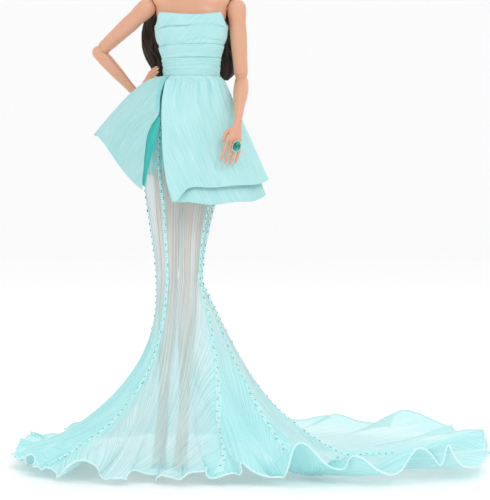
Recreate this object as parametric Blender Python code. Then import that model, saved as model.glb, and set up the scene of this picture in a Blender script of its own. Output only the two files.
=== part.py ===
"""Fashion doll, twelve inches tall, in a strapless gown with a peplum, a fitted sheer skirt and a train.

The doll faces -Y, +Z is up and its left side is at +X. The origin is on the floor, under the forefoot of
the left shoe. Every limb is a lofted solid whose sections are shares of its own radius. Every sheet of
cloth is a thin closed shell around one formula for that sheet.
"""
import math

import bmesh
import bpy
import numpy as np
from mathutils import Vector

MM = 0.001

# Clearances and cuts
GAP = 0.3 * MM
OVERRUN = 3.0 * MM
FLOOR_GAP = 0.3 * MM

# Stance: the body's axis, and how far the hips and knees sway from it
BODY_X = 5.6 * MM
BODY_Y = 8.0 * MM
HIP_SWAY = 2.8 * MM
KNEE_SWAY = 6.4 * MM

# Heights above the floor: each length of the body stands on the one below it
ANKLE_HEIGHT = 28.0 * MM
KNEE_HEIGHT = 98.0 * MM
THIGH_LENGTH = 70.0 * MM
HIP_HEIGHT = KNEE_HEIGHT + THIGH_LENGTH
HIP_TO_WAIST = 37.0 * MM
WAIST_HEIGHT = HIP_HEIGHT + HIP_TO_WAIST
WAIST_TO_SHOULDER = 35.5 * MM
SHOULDER_HEIGHT = WAIST_HEIGHT + WAIST_TO_SHOULDER
SHOULDER_TO_NECK_TOP = 19.5 * MM
NECK_TOP_HEIGHT = SHOULDER_HEIGHT + SHOULDER_TO_NECK_TOP

# Torso
TORSO_HALF_WIDTH = 18.3 * MM
TORSO_HALF_DEPTH = 11.2 * MM
WAIST_SEAM_DROP = 2.0 * MM
SIDE_SEAM_GAP = 0.3 * MM
NECK_RADIUS = 5.4 * MM
PELVIS_HALF_WIDTH = 17.0 * MM
PELVIS_HALF_DEPTH = 10.6 * MM
PELVIS_BELOW_HIP = 4.8 * MM
PELVIS_HEIGHT = HIP_TO_WAIST - WAIST_SEAM_DROP - GAP + PELVIS_BELOW_HIP
WAIST_PEG_RADIUS = 3.0 * MM
WAIST_PEG_LENGTH = 14.0 * MM

# Arms
SHOULDER_HALF_SPAN = 23.6 * MM
SHOULDER_RADIUS = 5.0 * MM
ARM_RADIUS = 4.3 * MM
ELBOW_RADIUS = 3.6 * MM
FOREARM_RADIUS = 3.6 * MM
WRIST_RADIUS = 2.1 * MM
RIGHT_ELBOW_OUT = 25.9 * MM
RIGHT_ELBOW_BACK = 13.5 * MM
RIGHT_ELBOW_DROP = 22.1 * MM
RIGHT_WRIST_IN = 20.8 * MM
RIGHT_WRIST_BACK = 0.5 * MM
RIGHT_WRIST_DROP = 23.0 * MM
LEFT_ELBOW_OUT = 2.6 * MM
LEFT_ELBOW_BACK = 1.5 * MM
LEFT_ELBOW_DROP = 38.4 * MM
LEFT_WRIST_IN = 1.7 * MM
LEFT_WRIST_FORWARD = 25.0 * MM
LEFT_WRIST_DROP = 21.0 * MM

# Pegs: a stem that turns in the part above, a disc and an axle that hinge in the part below
ELBOW_DISC_RADIUS = 2.3 * MM
ELBOW_DISC_WIDTH = 2.0 * MM
WRIST_DISC_RADIUS = 1.35 * MM
WRIST_DISC_WIDTH = 1.3 * MM
SHOULDER_DISC_RADIUS = 2.9 * MM
SHOULDER_DISC_WIDTH = 2.6 * MM
KNEE_DISC_RADIUS = 3.1 * MM
KNEE_DISC_WIDTH = 2.6 * MM
NECK_DISC_RADIUS = 4.2 * MM
NECK_DISC_WIDTH = 4.0 * MM
STEM_DEPTH = 4.0 * MM
HIP_AXLE_RADIUS = 1.6 * MM

# Hands
HAND_LENGTH = 24.0 * MM
PALM_WIDTH = 7.4 * MM
PALM_THICKNESS = 3.0 * MM
FINGER_RADIUS = 0.90 * MM
THUMB_RADIUS = 1.05 * MM

# Legs
HIP_HALF_SPAN = 9.2 * MM
THIGH_RADIUS = 7.8 * MM
KNEE_RADIUS = 4.8 * MM
CALF_RADIUS = 5.2 * MM
RIGHT_KNEE_X = -6.2 * MM
RIGHT_KNEE_BACK = 2.5 * MM
LEFT_KNEE_X = 3.9 * MM
LEFT_KNEE_BACK = -2.0 * MM
RIGHT_FOOT_X = -11.4 * MM
RIGHT_FOOT_BACK = 5.0 * MM
LEFT_FOOT_X = 0.0
LEFT_FOOT_BACK = 0.0
ANKLE_BACK = 10.5 * MM
ANKLE_IN = 1.4 * MM
FOOT_RADIUS = 3.4 * MM
TOE_FORWARD = 6.5 * MM

# Shoes
SOLE_THICKNESS = 1.0 * MM
SOLE_HALF_WIDTH = 4.4 * MM
SHANK_HEIGHT = 15.5 * MM
HEEL_TOP_RADIUS = 2.4 * MM
HEEL_TIP_RADIUS = 1.1 * MM

# Head and hair
HEAD_HALF_WIDTH = 12.2 * MM
HEAD_HALF_DEPTH = 14.2 * MM
HEAD_HALF_HEIGHT = 17.6 * MM
HEAD_RISE = 20.0 * MM
HEAD_HEIGHT = NECK_TOP_HEIGHT + HEAD_RISE
HEAD_FORWARD = 2.2 * MM
NOSE_LENGTH = 2.0 * MM
HAIR_THICKNESS = 3.0 * MM
CAP_GAP = 0.9 * MM
LOCK_RISE = 7.6 * MM
LOCK_LENGTH = 63.6 * MM
LOCK_TOP_HEIGHT = NECK_TOP_HEIGHT + LOCK_RISE
LOCK_BOTTOM_HEIGHT = LOCK_TOP_HEIGHT - LOCK_LENGTH
LOCK_BACK = 20.8 * MM
LOCK_START_BACK = 10.0 * MM
LOCK_SIDE_FORWARD = 4.0 * MM
LOCK_HALF_DEPTH = 4.4 * MM
LOCK_HALF_WIDTH = 8.0 * MM
LOCK_SPACING = 17.2 * MM
LOCK_WAVE = 1.6 * MM

# Bodice: each band is a shell outside the bodice, flared at its top edge
BODICE_WALL = 0.6 * MM
BODICE_EASE = 0.5 * MM
BAND_WALL = 0.7 * MM
BAND_FLARE = 1.1 * MM
BODICE_BELOW_WAIST = 0.6 * MM
WAISTBAND_DEPTH = 4.0 * MM
WAIST_PLEATS_DEPTH = 5.6 * MM
MIDRIFF_DEPTH = 6.4 * MM
BUST_BAND_DEPTH = 9.0 * MM
NECKLINE_DEPTH = 8.6 * MM
NECKLINE_DIP = 6.8 * MM
NECKLINE_ABOVE_SHELL = 1.4 * MM
BODICE_BOTTOM_HEIGHT = WAIST_HEIGHT - BODICE_BELOW_WAIST
WAISTBAND_HEIGHT = BODICE_BOTTOM_HEIGHT + WAISTBAND_DEPTH
WAIST_PLEATS_HEIGHT = WAISTBAND_HEIGHT + WAIST_PLEATS_DEPTH
MIDRIFF_HEIGHT = WAIST_PLEATS_HEIGHT + MIDRIFF_DEPTH
BUST_BAND_HEIGHT = MIDRIFF_HEIGHT + BUST_BAND_DEPTH
NECKLINE_HEIGHT = BUST_BAND_HEIGHT + NECKLINE_DEPTH
BODICE_TOP_HEIGHT = NECKLINE_HEIGHT - NECKLINE_ABOVE_SHELL

# Peplum
PEPLUM_BELOW_WAIST = 0.3 * MM
PEPLUM_TOP_HEIGHT = WAIST_HEIGHT - PEPLUM_BELOW_WAIST
PEPLUM_WAIST_WIDTH = 15.8 * MM
PEPLUM_WAIST_DEPTH = 12.7 * MM
PEPLUM_REACH = 35.0 * MM
PEPLUM_DROP = 62.0 * MM
PEPLUM_WALL = 0.8 * MM
LAYER_SPACING = 1.7 * MM
PEPLUM_FOLD = 1.5 * MM

# Skirt and train
SKIRT_BELOW_WAIST = 1.6 * MM
SKIRT_TOP_HEIGHT = WAIST_HEIGHT - SKIRT_BELOW_WAIST
SKIRT_HALF_WIDTH = 19.8 * MM
SKIRT_HALF_DEPTH = 13.6 * MM
CLOTH_WALL = 0.7 * MM
LINING_WALL = 0.5 * MM
LINING_SPACING = 0.6 * MM
LINING_TOP_DROP = 2.2 * MM
LINING_LENGTH = 45.2 * MM
LINING_BOTTOM_HEIGHT = SKIRT_TOP_HEIGHT - LINING_TOP_DROP - LINING_LENGTH
TRAIN_REACH = 160.0 * MM
FLARE_REACH = 74.0 * MM
HEM_REST = 1.6 * MM
FOLD_DEPTH = 3.4 * MM
RUFFLE_HEIGHT = 4.2 * MM
RUFFLE_SPACING = 16.7 * MM
FLARE_POWER = 2.1
FOLD_COUNTS = (11, 17)
RUFFLE_COUNTS = (17, 29)
BACK_FULLNESS_SHARE = 0.36

# Ring
RING_RADIUS = 1.32 * MM
RING_WALL = 0.22 * MM
RING_WIDTH = 0.9 * MM
STONE_LENGTH = 5.0 * MM
STONE_WIDTH = 3.7 * MM
STONE_HEIGHT = 1.5 * MM

# Shares of the sizes above: height or travel first, then the shares at that station
CHEST_SHARES = [
    (0.00, 0.70, 0.80), (0.14, 0.71, 0.80), (0.30, 0.80, 0.92), (0.44, 0.89, 1.07), (0.52, 0.92, 1.04),
    (0.58, 0.98, 0.90), (0.64, 1.00, 0.76), (0.72, 1.00, 0.66), (0.77, 0.86, 0.60), (0.83, 0.48, 0.54),
    (0.90, 0.31, 0.49), (1.00, 0.285, 0.46),
]
PELVIS_SHARES = [
    (0.00, 0.42, 0.52), (0.12, 0.80, 0.72), (0.24, 0.97, 0.90), (0.45, 0.99, 1.00), (0.70, 0.865, 0.93),
    (0.88, 0.755, 0.84), (1.00, 0.73, 0.80),
]
ARM_SHARES = [(0.0, 1.00), (0.12, 1.04), (0.35, 1.00), (0.70, 0.92), (1.0, 0.84)]
FOREARM_SHARES = [(0.0, 1.00), (0.2, 1.06), (0.45, 0.95), (0.75, 0.72), (1.0, 0.58)]
THIGH_SHARES = [(0.0, 1.00), (0.25, 1.00), (0.5, 0.90), (0.75, 0.74), (1.0, 0.62)]
SHIN_SHARES = [
    (0.00, 0.92, 0.92), (0.18, 0.96, 1.02), (0.34, 0.94, 1.08), (0.55, 0.76, 0.86), (0.80, 0.54, 0.58),
    (1.00, 0.52, 0.62),
]
FINGER_LENGTH_SHARES = [0.86, 0.98, 1.00, 0.93]
FINGER_PLACE_SHARES = [-0.42, -0.14, 0.14, 0.42]
SKIRT_CENTRE_SHARES = [
    (0.00, 1.00), (0.12, 0.86), (0.26, 0.66), (0.36, 0.50), (0.54, 0.24), (0.72, 0.10), (0.90, 0.02),
    (1.00, 0.00),
]
SKIRT_SECTION_SHARES = [
    (0.00, 0.73, 0.79), (0.12, 0.87, 0.90), (0.26, 0.975, 1.00), (0.36, 1.00, 1.00), (0.54, 0.975, 0.98),
    (0.72, 0.80, 0.93), (0.90, 0.64, 0.88), (1.00, 0.60, 0.87),
]
HEM_SHARES = [
    (-180, 0.80), (-160, 0.76), (-140, 0.70), (-120, 0.64), (-100, 0.56), (-80, 0.53), (-60, 0.50), (-45, 0.50),
    (-25, 0.42), (0, 0.40), (20, 0.45), (40, 0.56), (60, 0.82), (75, 0.98), (90, 1.02), (105, 1.06),
    (120, 1.12), (140, 1.02), (160, 0.90), (180, 0.80),
]
FLARE_SHARES = [(-180, 1.10), (-90, 1.00), (-45, 0.90), (0, 0.80), (45, 0.90), (90, 1.00), (180, 1.10)]
PEPLUM_SHARES = [
    (-180, 0.66, 0.84, 1.00), (-150, 0.60, 0.84, 1.10), (-120, 0.56, 0.78, 1.34), (-100, 0.68, 0.64, 1.64),
    (-86, 0.84, 0.52, 1.80), (-70, 1.03, 0.48, 0.88), (-52, 0.90, 0.76, 0.85), (-35, 0.74, 0.95, 0.85),
    (-15, 0.52, 1.03, 0.85),
    (0, 0.46, 1.00, 0.85), (40, 0.62, 0.97, 0.90), (72, 0.84, 0.86, 1.02), (100, 0.76, 0.82, 1.05),
    (140, 0.70, 0.84, 0.95), (180, 0.66, 0.84, 1.00),
]
GORE_SEAM_DEGREES = {
    "front": (-30, -60), "side_front": (62, 18), "godet": (76, 52), "side_back": (112, 100),
    "centre_back": (180, 160), "left_back": (265, 235),
}
SKIRT_KNEE_SHARE = 0.42
SLIT_TOP_DEGREES = -53.0
SLIT_LEFT_DEGREES = -36.0
SLIT_RIGHT_DEGREES = -15.0

SKIN = (0.74, 0.42, 0.28)
MINT = (0.50, 0.86, 0.84)
SHEER = (0.62, 0.84, 0.84)
HAIR = (0.025, 0.014, 0.010)
SHOE = (0.03, 0.05, 0.055)
SILVER = (0.78, 0.79, 0.80)
EMERALD = (0.01, 0.30, 0.20)

MATERIALS = {}


def material(name, colour, roughness, metallic=0.0):
    """The one material of that name: a Principled shader with plain values."""
    if name not in MATERIALS:
        made = bpy.data.materials.new(name)
        made.use_nodes = True
        shader = made.node_tree.nodes["Principled BSDF"]
        shader.inputs["Base Color"].default_value = (*colour, 1.0)
        shader.inputs["Roughness"].default_value = roughness
        shader.inputs["Metallic"].default_value = metallic
        MATERIALS[name] = made
    return MATERIALS[name]


def skin():
    return material("skin_vinyl", SKIN, 0.42)


def mint():
    return material("mint_crinkle", MINT, 0.65)


def sheer():
    return material("sheer_crinkle", SHEER, 0.60)


def hair():
    return material("hair", HAIR, 0.35)


def smooth(table, at):
    """Cubic curve through a table's rows; the first column is the place, the rest are values."""
    rows = np.asarray(table, dtype=float)
    places, values = rows[:, 0], rows[:, 1:]
    slopes = np.gradient(values, places, axis=0)
    at = np.clip(np.asarray(at, dtype=float), places[0], places[-1])
    low = np.clip(np.searchsorted(places, at, side="right") - 1, 0, len(places) - 2)
    width = places[low + 1] - places[low]
    t = ((at - places[low]) / width)[..., None]
    width = width[..., None]
    return (
        values[low] * (1 + 2 * t) * (1 - t) ** 2
        + slopes[low] * width * t * (1 - t) ** 2
        + values[low + 1] * t ** 2 * (3 - 2 * t)
        + slopes[low + 1] * width * t ** 2 * (t - 1)
    )


def add_object(name, points, faces, finish, sharp=0.7):
    """Make one closed body from points and faces, its faces turned outward and shaded smooth."""
    mesh = bpy.data.meshes.new(name)
    mesh.from_pydata([tuple(p) for p in points], [], faces)
    work = bmesh.new()
    work.from_mesh(mesh)
    bmesh.ops.recalc_face_normals(work, faces=work.faces)
    work.to_mesh(mesh)
    work.free()
    mesh.materials.append(finish)
    mesh.shade_smooth()
    mesh.set_sharp_from_angle(angle=sharp)
    made = bpy.data.objects.new(name, mesh)
    bpy.context.scene.collection.objects.link(made)
    return made


def loft(name, rings, finish):
    """Join rings of points into a solid and close both ends with a face."""
    rows, sides, _ = rings.shape
    faces = []
    for row in range(rows - 1):
        for side in range(sides):
            after = (side + 1) % sides
            faces.append((
                row * sides + side, row * sides + after, (row + 1) * sides + after, (row + 1) * sides + side,
            ))
    faces.append(tuple(range(sides - 1, -1, -1)))
    faces.append(tuple((rows - 1) * sides + side for side in range(sides)))
    return add_object(name, rings.reshape(-1, 3), faces, finish)


def shell(name, outer, inner, finish, wraps):
    """Join an outer and an inner grid into one thin closed body; wraps says that the columns go all round."""
    rows, columns, _ = outer.shape
    count = rows * columns
    last = columns if wraps else columns - 1

    def outside(row, column):
        return row * columns + column % columns

    def inside(row, column):
        return count + row * columns + column % columns

    faces = []
    for row in range(rows - 1):
        for column in range(last):
            faces.append((outside(row, column), outside(row, column + 1),
                          outside(row + 1, column + 1), outside(row + 1, column)))
            faces.append((inside(row, column), inside(row + 1, column),
                          inside(row + 1, column + 1), inside(row, column + 1)))
    for column in range(last):
        for row, turn in ((0, 1), (rows - 1, -1)):
            after = column + 1
            face = (outside(row, column), inside(row, column), inside(row, after), outside(row, after))
            faces.append(face[::turn])
    if not wraps:
        for row in range(rows - 1):
            below = row + 1
            for column, turn in ((0, -1), (columns - 1, 1)):
                face = (outside(row, column), inside(row, column), inside(below, column), outside(below, column))
                faces.append(face[::turn])
    points = np.concatenate([outer.reshape(-1, 3), inner.reshape(-1, 3)])
    return add_object(name, points, faces, finish)


def cutter(made):
    """Hide a solid that only cuts or joins another."""
    made.hide_render = True
    made.display_type = "WIRE"
    return made


def combine(target, tool, operation):
    step = target.modifiers.new(operation.lower(), "BOOLEAN")
    step.operation = operation
    step.solver = "EXACT"
    step.object = cutter(tool)


def cut(target, tool):
    combine(target, tool, "DIFFERENCE")


def join(target, tool):
    combine(target, tool, "UNION")


def frame_along(direction, reference):
    """Three unit vectors: across, deep and along, with across as near to the reference as it can be."""
    along = Vector(direction).normalized()
    across = Vector(reference)
    across = (across - along * across.dot(along)).normalized()
    return across, along.cross(across), along


def rod(name, start, end, radius, finish, sides=10, tip_radius=None):
    """A round bar, or a cone, between two points."""
    start, end = Vector(start), Vector(end)
    across, deep, _ = frame_along(end - start, (0.31, 0.95, 0.12))
    tip_radius = radius if tip_radius is None else tip_radius
    turn = np.arange(sides) * (2 * math.pi / sides)
    circle = np.cos(turn)[:, None] * np.array(across) + np.sin(turn)[:, None] * np.array(deep)
    rings = np.stack([np.array(start) + circle * radius, np.array(end) + circle * tip_radius])
    return loft(name, rings, finish)


def block(name, centre, axes, halves, finish):
    """A box with its middle, its three unit axes and its half sizes."""
    corners = []
    for low_high in ((-1, -1), (1, -1), (1, 1), (-1, 1)):
        across = np.array(axes[0]) * halves[0] * low_high[0]
        corners.append(across + np.array(axes[1]) * halves[1] * low_high[1])
    lift = np.array(axes[2]) * halves[2]
    rings = np.stack([np.array(corners) - lift, np.array(corners) + lift]) + np.array(centre)
    return loft(name, rings, finish)


def limb_rings(start, end, reference, stations, sides):
    """Elliptic rings from start towards end: each station is a travel in metres and two half widths."""
    across, deep, along = frame_along(Vector(end) - Vector(start), reference)
    turn = (np.arange(sides) + 0.5) * (2 * math.pi / sides)
    stations = np.asarray(stations, dtype=float)
    centres = np.array(start) + stations[:, :1] * np.array(along)
    wide = stations[:, 1][:, None, None] * np.cos(turn)[None, :, None] * np.array(across)
    thick = stations[:, 2][:, None, None] * np.sin(turn)[None, :, None] * np.array(deep)
    return centres[:, None, :] + wide + thick


def dome(radius, count=4):
    """Stations of a round end, from its tip to its full radius."""
    turns = np.linspace(0.18, 1.0, count) * (math.pi / 2)
    return [(-radius * math.cos(t), radius * math.sin(t), radius * math.sin(t)) for t in turns]


def limb(name, start, end, top_radius, body_radius, shares, stop, reference, finish, sides=10):
    """A limb piece: a round top about its own pivot, then its sections, then a flat end short of the next."""
    length = (Vector(end) - Vector(start)).length - stop
    stations = dome(top_radius)
    travel = np.linspace(0.18, 1.0, 6)
    for share, values in zip(travel, smooth(shares, travel)):
        radius = body_radius * values[0]
        stations.append((length * share, radius, body_radius * values[-1]))
    return loft(name, limb_rings(start, end, reference, stations, sides), finish)


def hinge_slot(piece, pivot, along, axis, disc_radius, disc_width, top_radius):
    """Cut the slot for a peg's disc and the bores for its axle into a piece's round top."""
    deep = Vector(along).cross(Vector(axis)).normalized()
    half_height = (top_radius + OVERRUN + disc_radius + GAP) / 2
    centre = Vector(pivot) - Vector(along) * (half_height - disc_radius - GAP)
    halves = (disc_width / 2 + GAP, top_radius + OVERRUN, half_height)
    cut(piece, block(piece.name + "_slot", centre, (axis, deep, along), halves, skin()))
    axle = Vector(axis) * (top_radius * 0.72)
    bore = rod(piece.name + "_bore", Vector(pivot) - axle, Vector(pivot) + axle,
               axle_radius(disc_radius) + GAP, skin())
    cut(piece, bore)


def axle_radius(disc_radius):
    return disc_radius * 0.36


def stem_radius(disc_width):
    return disc_width * 0.44


def peg(name, pivot, up, axis, disc_radius, disc_width, top_radius, finish):
    """A hinge peg: a disc on a short axle in the part below, and a stem that turns in the part above."""
    pivot, up, axis = Vector(pivot), Vector(up).normalized(), Vector(axis).normalized()
    stem_end = pivot + up * (top_radius + GAP + STEM_DEPTH)
    made = rod(name, pivot, stem_end, stem_radius(disc_width), finish, sides=8)
    half = axis * (disc_width / 2)
    join(made, rod(name + "_disc", pivot - half, pivot + half, disc_radius, finish))
    axle = axis * (top_radius * 0.72 - GAP)
    join(made, rod(name + "_axle", pivot - axle, pivot + axle, axle_radius(disc_radius), finish, sides=10))
    return made


def stem_socket(piece, pivot, up, top_radius, disc_width):
    """Cut the bore in the part above that a peg's stem turns in."""
    up = Vector(up).normalized()
    start = Vector(pivot) + up * (top_radius - OVERRUN)
    end = Vector(pivot) + up * (top_radius + 2 * GAP + STEM_DEPTH)
    cut(piece, rod(piece.name + "_socket", start, end, stem_radius(disc_width) + GAP, skin(), sides=8))


def side_values(side):
    """Pivots of one arm, from the shoulder down; side is -1 for the doll's right and 1 for its left."""
    shoulder = Vector((BODY_X + side * SHOULDER_HALF_SPAN, BODY_Y, SHOULDER_HEIGHT))
    if side < 0:
        elbow = shoulder + Vector((-RIGHT_ELBOW_OUT, RIGHT_ELBOW_BACK, -RIGHT_ELBOW_DROP))
        wrist = elbow + Vector((RIGHT_WRIST_IN, RIGHT_WRIST_BACK, -RIGHT_WRIST_DROP))
        reach = Vector((0.42, -0.70, 0.58)).normalized()
        back = Vector((-0.90, -0.30, 0.32))
    else:
        elbow = shoulder + Vector((LEFT_ELBOW_OUT, LEFT_ELBOW_BACK, -LEFT_ELBOW_DROP))
        wrist = elbow + Vector((-LEFT_WRIST_IN, -LEFT_WRIST_FORWARD, -LEFT_WRIST_DROP))
        reach = Vector((-0.20, -0.22, -0.95)).normalized()
        back = Vector((0.42, -0.90, 0.10))
    return shoulder, elbow, wrist, reach, back


def build_arm(side):
    """Shoulder peg, upper arm, elbow peg, forearm, wrist peg and hand."""
    word = "right" if side < 0 else "left"
    shoulder, elbow, wrist, reach, back = side_values(side)
    upper = (elbow - shoulder).normalized()
    lower = (wrist - elbow).normalized()
    lift_axis = Vector((0, 1, 0))
    bend_axis = upper.cross(lower).normalized()
    hand_axis = lower.cross(reach).normalized()

    inward = Vector((-side, 0, 0))
    peg(word + "_shoulder_peg", shoulder, inward, lift_axis, SHOULDER_DISC_RADIUS, SHOULDER_DISC_WIDTH,
        SHOULDER_RADIUS, skin())
    arm = limb(word + "_upper_arm", shoulder, elbow, SHOULDER_RADIUS, ARM_RADIUS, ARM_SHARES,
               ELBOW_RADIUS + GAP, lift_axis, skin())
    shoulder_slot(arm, shoulder, upper, inward, lift_axis)
    stem_socket(arm, elbow, -upper, ELBOW_RADIUS, ELBOW_DISC_WIDTH)

    peg(word + "_elbow_peg", elbow, -upper, bend_axis, ELBOW_DISC_RADIUS, ELBOW_DISC_WIDTH, ELBOW_RADIUS,
        skin())
    forearm = limb(word + "_forearm", elbow, wrist, ELBOW_RADIUS, FOREARM_RADIUS, FOREARM_SHARES,
                   WRIST_RADIUS + GAP, bend_axis, skin())
    hinge_slot(forearm, elbow, lower, bend_axis, ELBOW_DISC_RADIUS, ELBOW_DISC_WIDTH, ELBOW_RADIUS)
    relief(forearm, elbow, -upper, lower, bend_axis, ELBOW_DISC_RADIUS, ELBOW_DISC_WIDTH, ELBOW_RADIUS)
    stem_socket(forearm, wrist, -lower, WRIST_RADIUS, WRIST_DISC_WIDTH)

    peg(word + "_wrist_peg", wrist, -lower, hand_axis, WRIST_DISC_RADIUS, WRIST_DISC_WIDTH, WRIST_RADIUS,
        skin())
    build_hand(word + "_hand", wrist, lower, reach, back)


def shoulder_slot(arm, shoulder, upper, inward, axis):
    """The slot in the arm's top is open upward and on the side where the peg's stem leaves for the chest."""
    down = (upper - axis * upper.dot(axis)).normalized()
    deep = down.cross(axis).normalized()
    side = deep if deep.dot(inward) > 0 else -deep
    room = SHOULDER_DISC_RADIUS + GAP
    reach = SHOULDER_RADIUS + OVERRUN
    half = (reach + room) / 2
    centre = shoulder + (side - down) * ((reach - room) / 2)
    halves = (SHOULDER_DISC_WIDTH / 2 + GAP, half, half)
    cut(arm, block(arm.name + "_slot", centre, (axis, deep, down), halves, skin()))
    axle = axis * (SHOULDER_RADIUS * 0.72)
    bore_radius = axle_radius(SHOULDER_DISC_RADIUS) + GAP
    cut(arm, rod(arm.name + "_bore", shoulder - axle, shoulder + axle, bore_radius, skin()))


def relief(piece, pivot, stem, along, axis, disc_radius, disc_width, top_radius):
    """Open a slot on the side where the bent piece meets the peg's stem."""
    deep = along.cross(axis).normalized()
    side = deep if deep.dot(stem) > 0 else -deep
    reach = top_radius + OVERRUN
    clear = 1.3 * GAP
    halves = (disc_width / 2 + clear, reach / 2, disc_radius + clear)
    cut(piece, block(piece.name + "_relief", pivot + side * (reach / 2), (axis, deep, along), halves, skin()))


def palm_axes(reach, back):
    """The way out of the back of the hand, and the way across the palm."""
    normal = (back - reach * back.dot(reach)).normalized()
    return normal, reach.cross(normal).normalized()


def finger_joints(wrist, reach, back, number):
    """Base, middle and tip of one finger; finger 0 lies on the negative side of the palm."""
    normal, across = palm_axes(reach, back)
    palm_length = HAND_LENGTH * 0.47
    finger_length = (HAND_LENGTH - palm_length) * FINGER_LENGTH_SHARES[number]
    place = PALM_WIDTH * FINGER_PLACE_SHARES[number]
    base = wrist + reach * (palm_length * 0.80) + across * place
    middle = base + reach * (finger_length * 0.62) + across * (place * 0.30)
    tip = middle + (reach - normal * 0.30).normalized() * (finger_length * 0.55)
    return base, middle, tip


def build_hand(name, wrist, lower, reach, back):
    """A wrist root, a flat palm, four fingers and a thumb joined into one piece."""
    normal, across = palm_axes(reach, back)
    hand_axis = lower.cross(reach).normalized()
    palm_length = HAND_LENGTH * 0.47
    stations = dome(WRIST_RADIUS, 3)
    half, thick = PALM_WIDTH / 2, PALM_THICKNESS / 2
    root = WRIST_RADIUS + GAP
    stations += [
        (root, WRIST_RADIUS, WRIST_RADIUS * 0.92), (palm_length * 0.45, half * 0.82, thick * 1.05),
        (palm_length * 0.75, half, thick), (palm_length * 0.96, half * 0.98, thick * 0.85),
        (palm_length * 1.04, half * 0.86, thick * 0.55),
    ]
    hand = loft(name, limb_rings(wrist, wrist + reach, across, stations, 12), skin())
    hinge_slot(hand, wrist, reach, hand_axis, WRIST_DISC_RADIUS, WRIST_DISC_WIDTH, WRIST_RADIUS)
    relief(hand, wrist, -lower, reach, hand_axis, WRIST_DISC_RADIUS, WRIST_DISC_WIDTH, WRIST_RADIUS)
    for number in range(len(FINGER_LENGTH_SHARES)):
        joints = finger_joints(wrist, reach, back, number)
        join(hand, bent_finger("{}_finger_{}".format(name, number + 1), joints, normal, FINGER_RADIUS))
    inner = across * (1 if across.x < 0 else -1)
    base = wrist + reach * (palm_length * 0.35) + inner * (PALM_WIDTH * 0.22) - normal * (PALM_THICKNESS * 0.15)
    middle = base + (reach + inner * 0.75 - normal * 0.25).normalized() * (HAND_LENGTH * 0.22)
    tip = middle + (reach * 1.2 + inner * 0.12).normalized() * (HAND_LENGTH * 0.20)
    join(hand, bent_finger(name + "_thumb", (base, middle, tip), normal, THUMB_RADIUS))


def bent_finger(name, joints, normal, radius):
    """A tapered eight-sided tube through three joints, with a round tip."""
    base, middle, tip = (np.array(point) for point in joints)
    travel_shares = np.array([0.0, 0.5, 1.0, 1.6, 1.9, 2.0])[:, None]
    radius_shares = np.array([1.0, 1.04, 1.0, 0.84, 0.58, 0.22])
    first = np.clip(travel_shares, 0, 1)
    second = np.clip(travel_shares - 1, 0, 1)
    path = base + (middle - base) * first + (tip - middle) * second
    radii = radius * radius_shares
    return loft(name, path_rings(path, normal, radii, radii, 8), skin())


def path_rings(path, reference, half_across, half_deep, sides):
    """Elliptic rings square to a path of points."""
    tangents = np.gradient(path, axis=0)
    tangents /= np.linalg.norm(tangents, axis=1)[:, None]
    across = np.array(reference) - tangents * (tangents @ np.array(reference))[:, None]
    across /= np.linalg.norm(across, axis=1)[:, None]
    deep = np.cross(tangents, across)
    turn = (np.arange(sides) + 0.5) * (2 * math.pi / sides)
    wide = (half_across[:, None] * np.cos(turn))[:, :, None] * across[:, None, :]
    thick = (half_deep[:, None] * np.sin(turn))[:, :, None] * deep[:, None, :]
    return path[:, None, :] + wide + thick


def column_rings(centre_x, centre_y, heights, half_widths, half_depths, sides, phase=0.0):
    """Level elliptic rings at rising heights."""
    turn = (np.arange(sides) + phase) * (2 * math.pi / sides)
    x = np.asarray(centre_x)[..., None] + np.asarray(half_widths)[:, None] * np.sin(turn)
    y = np.asarray(centre_y)[..., None] - np.asarray(half_depths)[:, None] * np.cos(turn)
    x, y = np.broadcast_arrays(x, y)
    z = np.broadcast_to(np.asarray(heights)[:, None], x.shape)
    return np.stack([x, y, z], axis=-1)


def chest_base():
    return WAIST_HEIGHT - WAIST_SEAM_DROP


def chest_section(height):
    """Half width and half depth of the chest at a height."""
    share = (np.asarray(height, dtype=float) - chest_base()) / (NECK_TOP_HEIGHT - chest_base())
    values = smooth(CHEST_SHARES, share)
    return values[..., 0] * TORSO_HALF_WIDTH, values[..., 1] * TORSO_HALF_DEPTH


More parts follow.
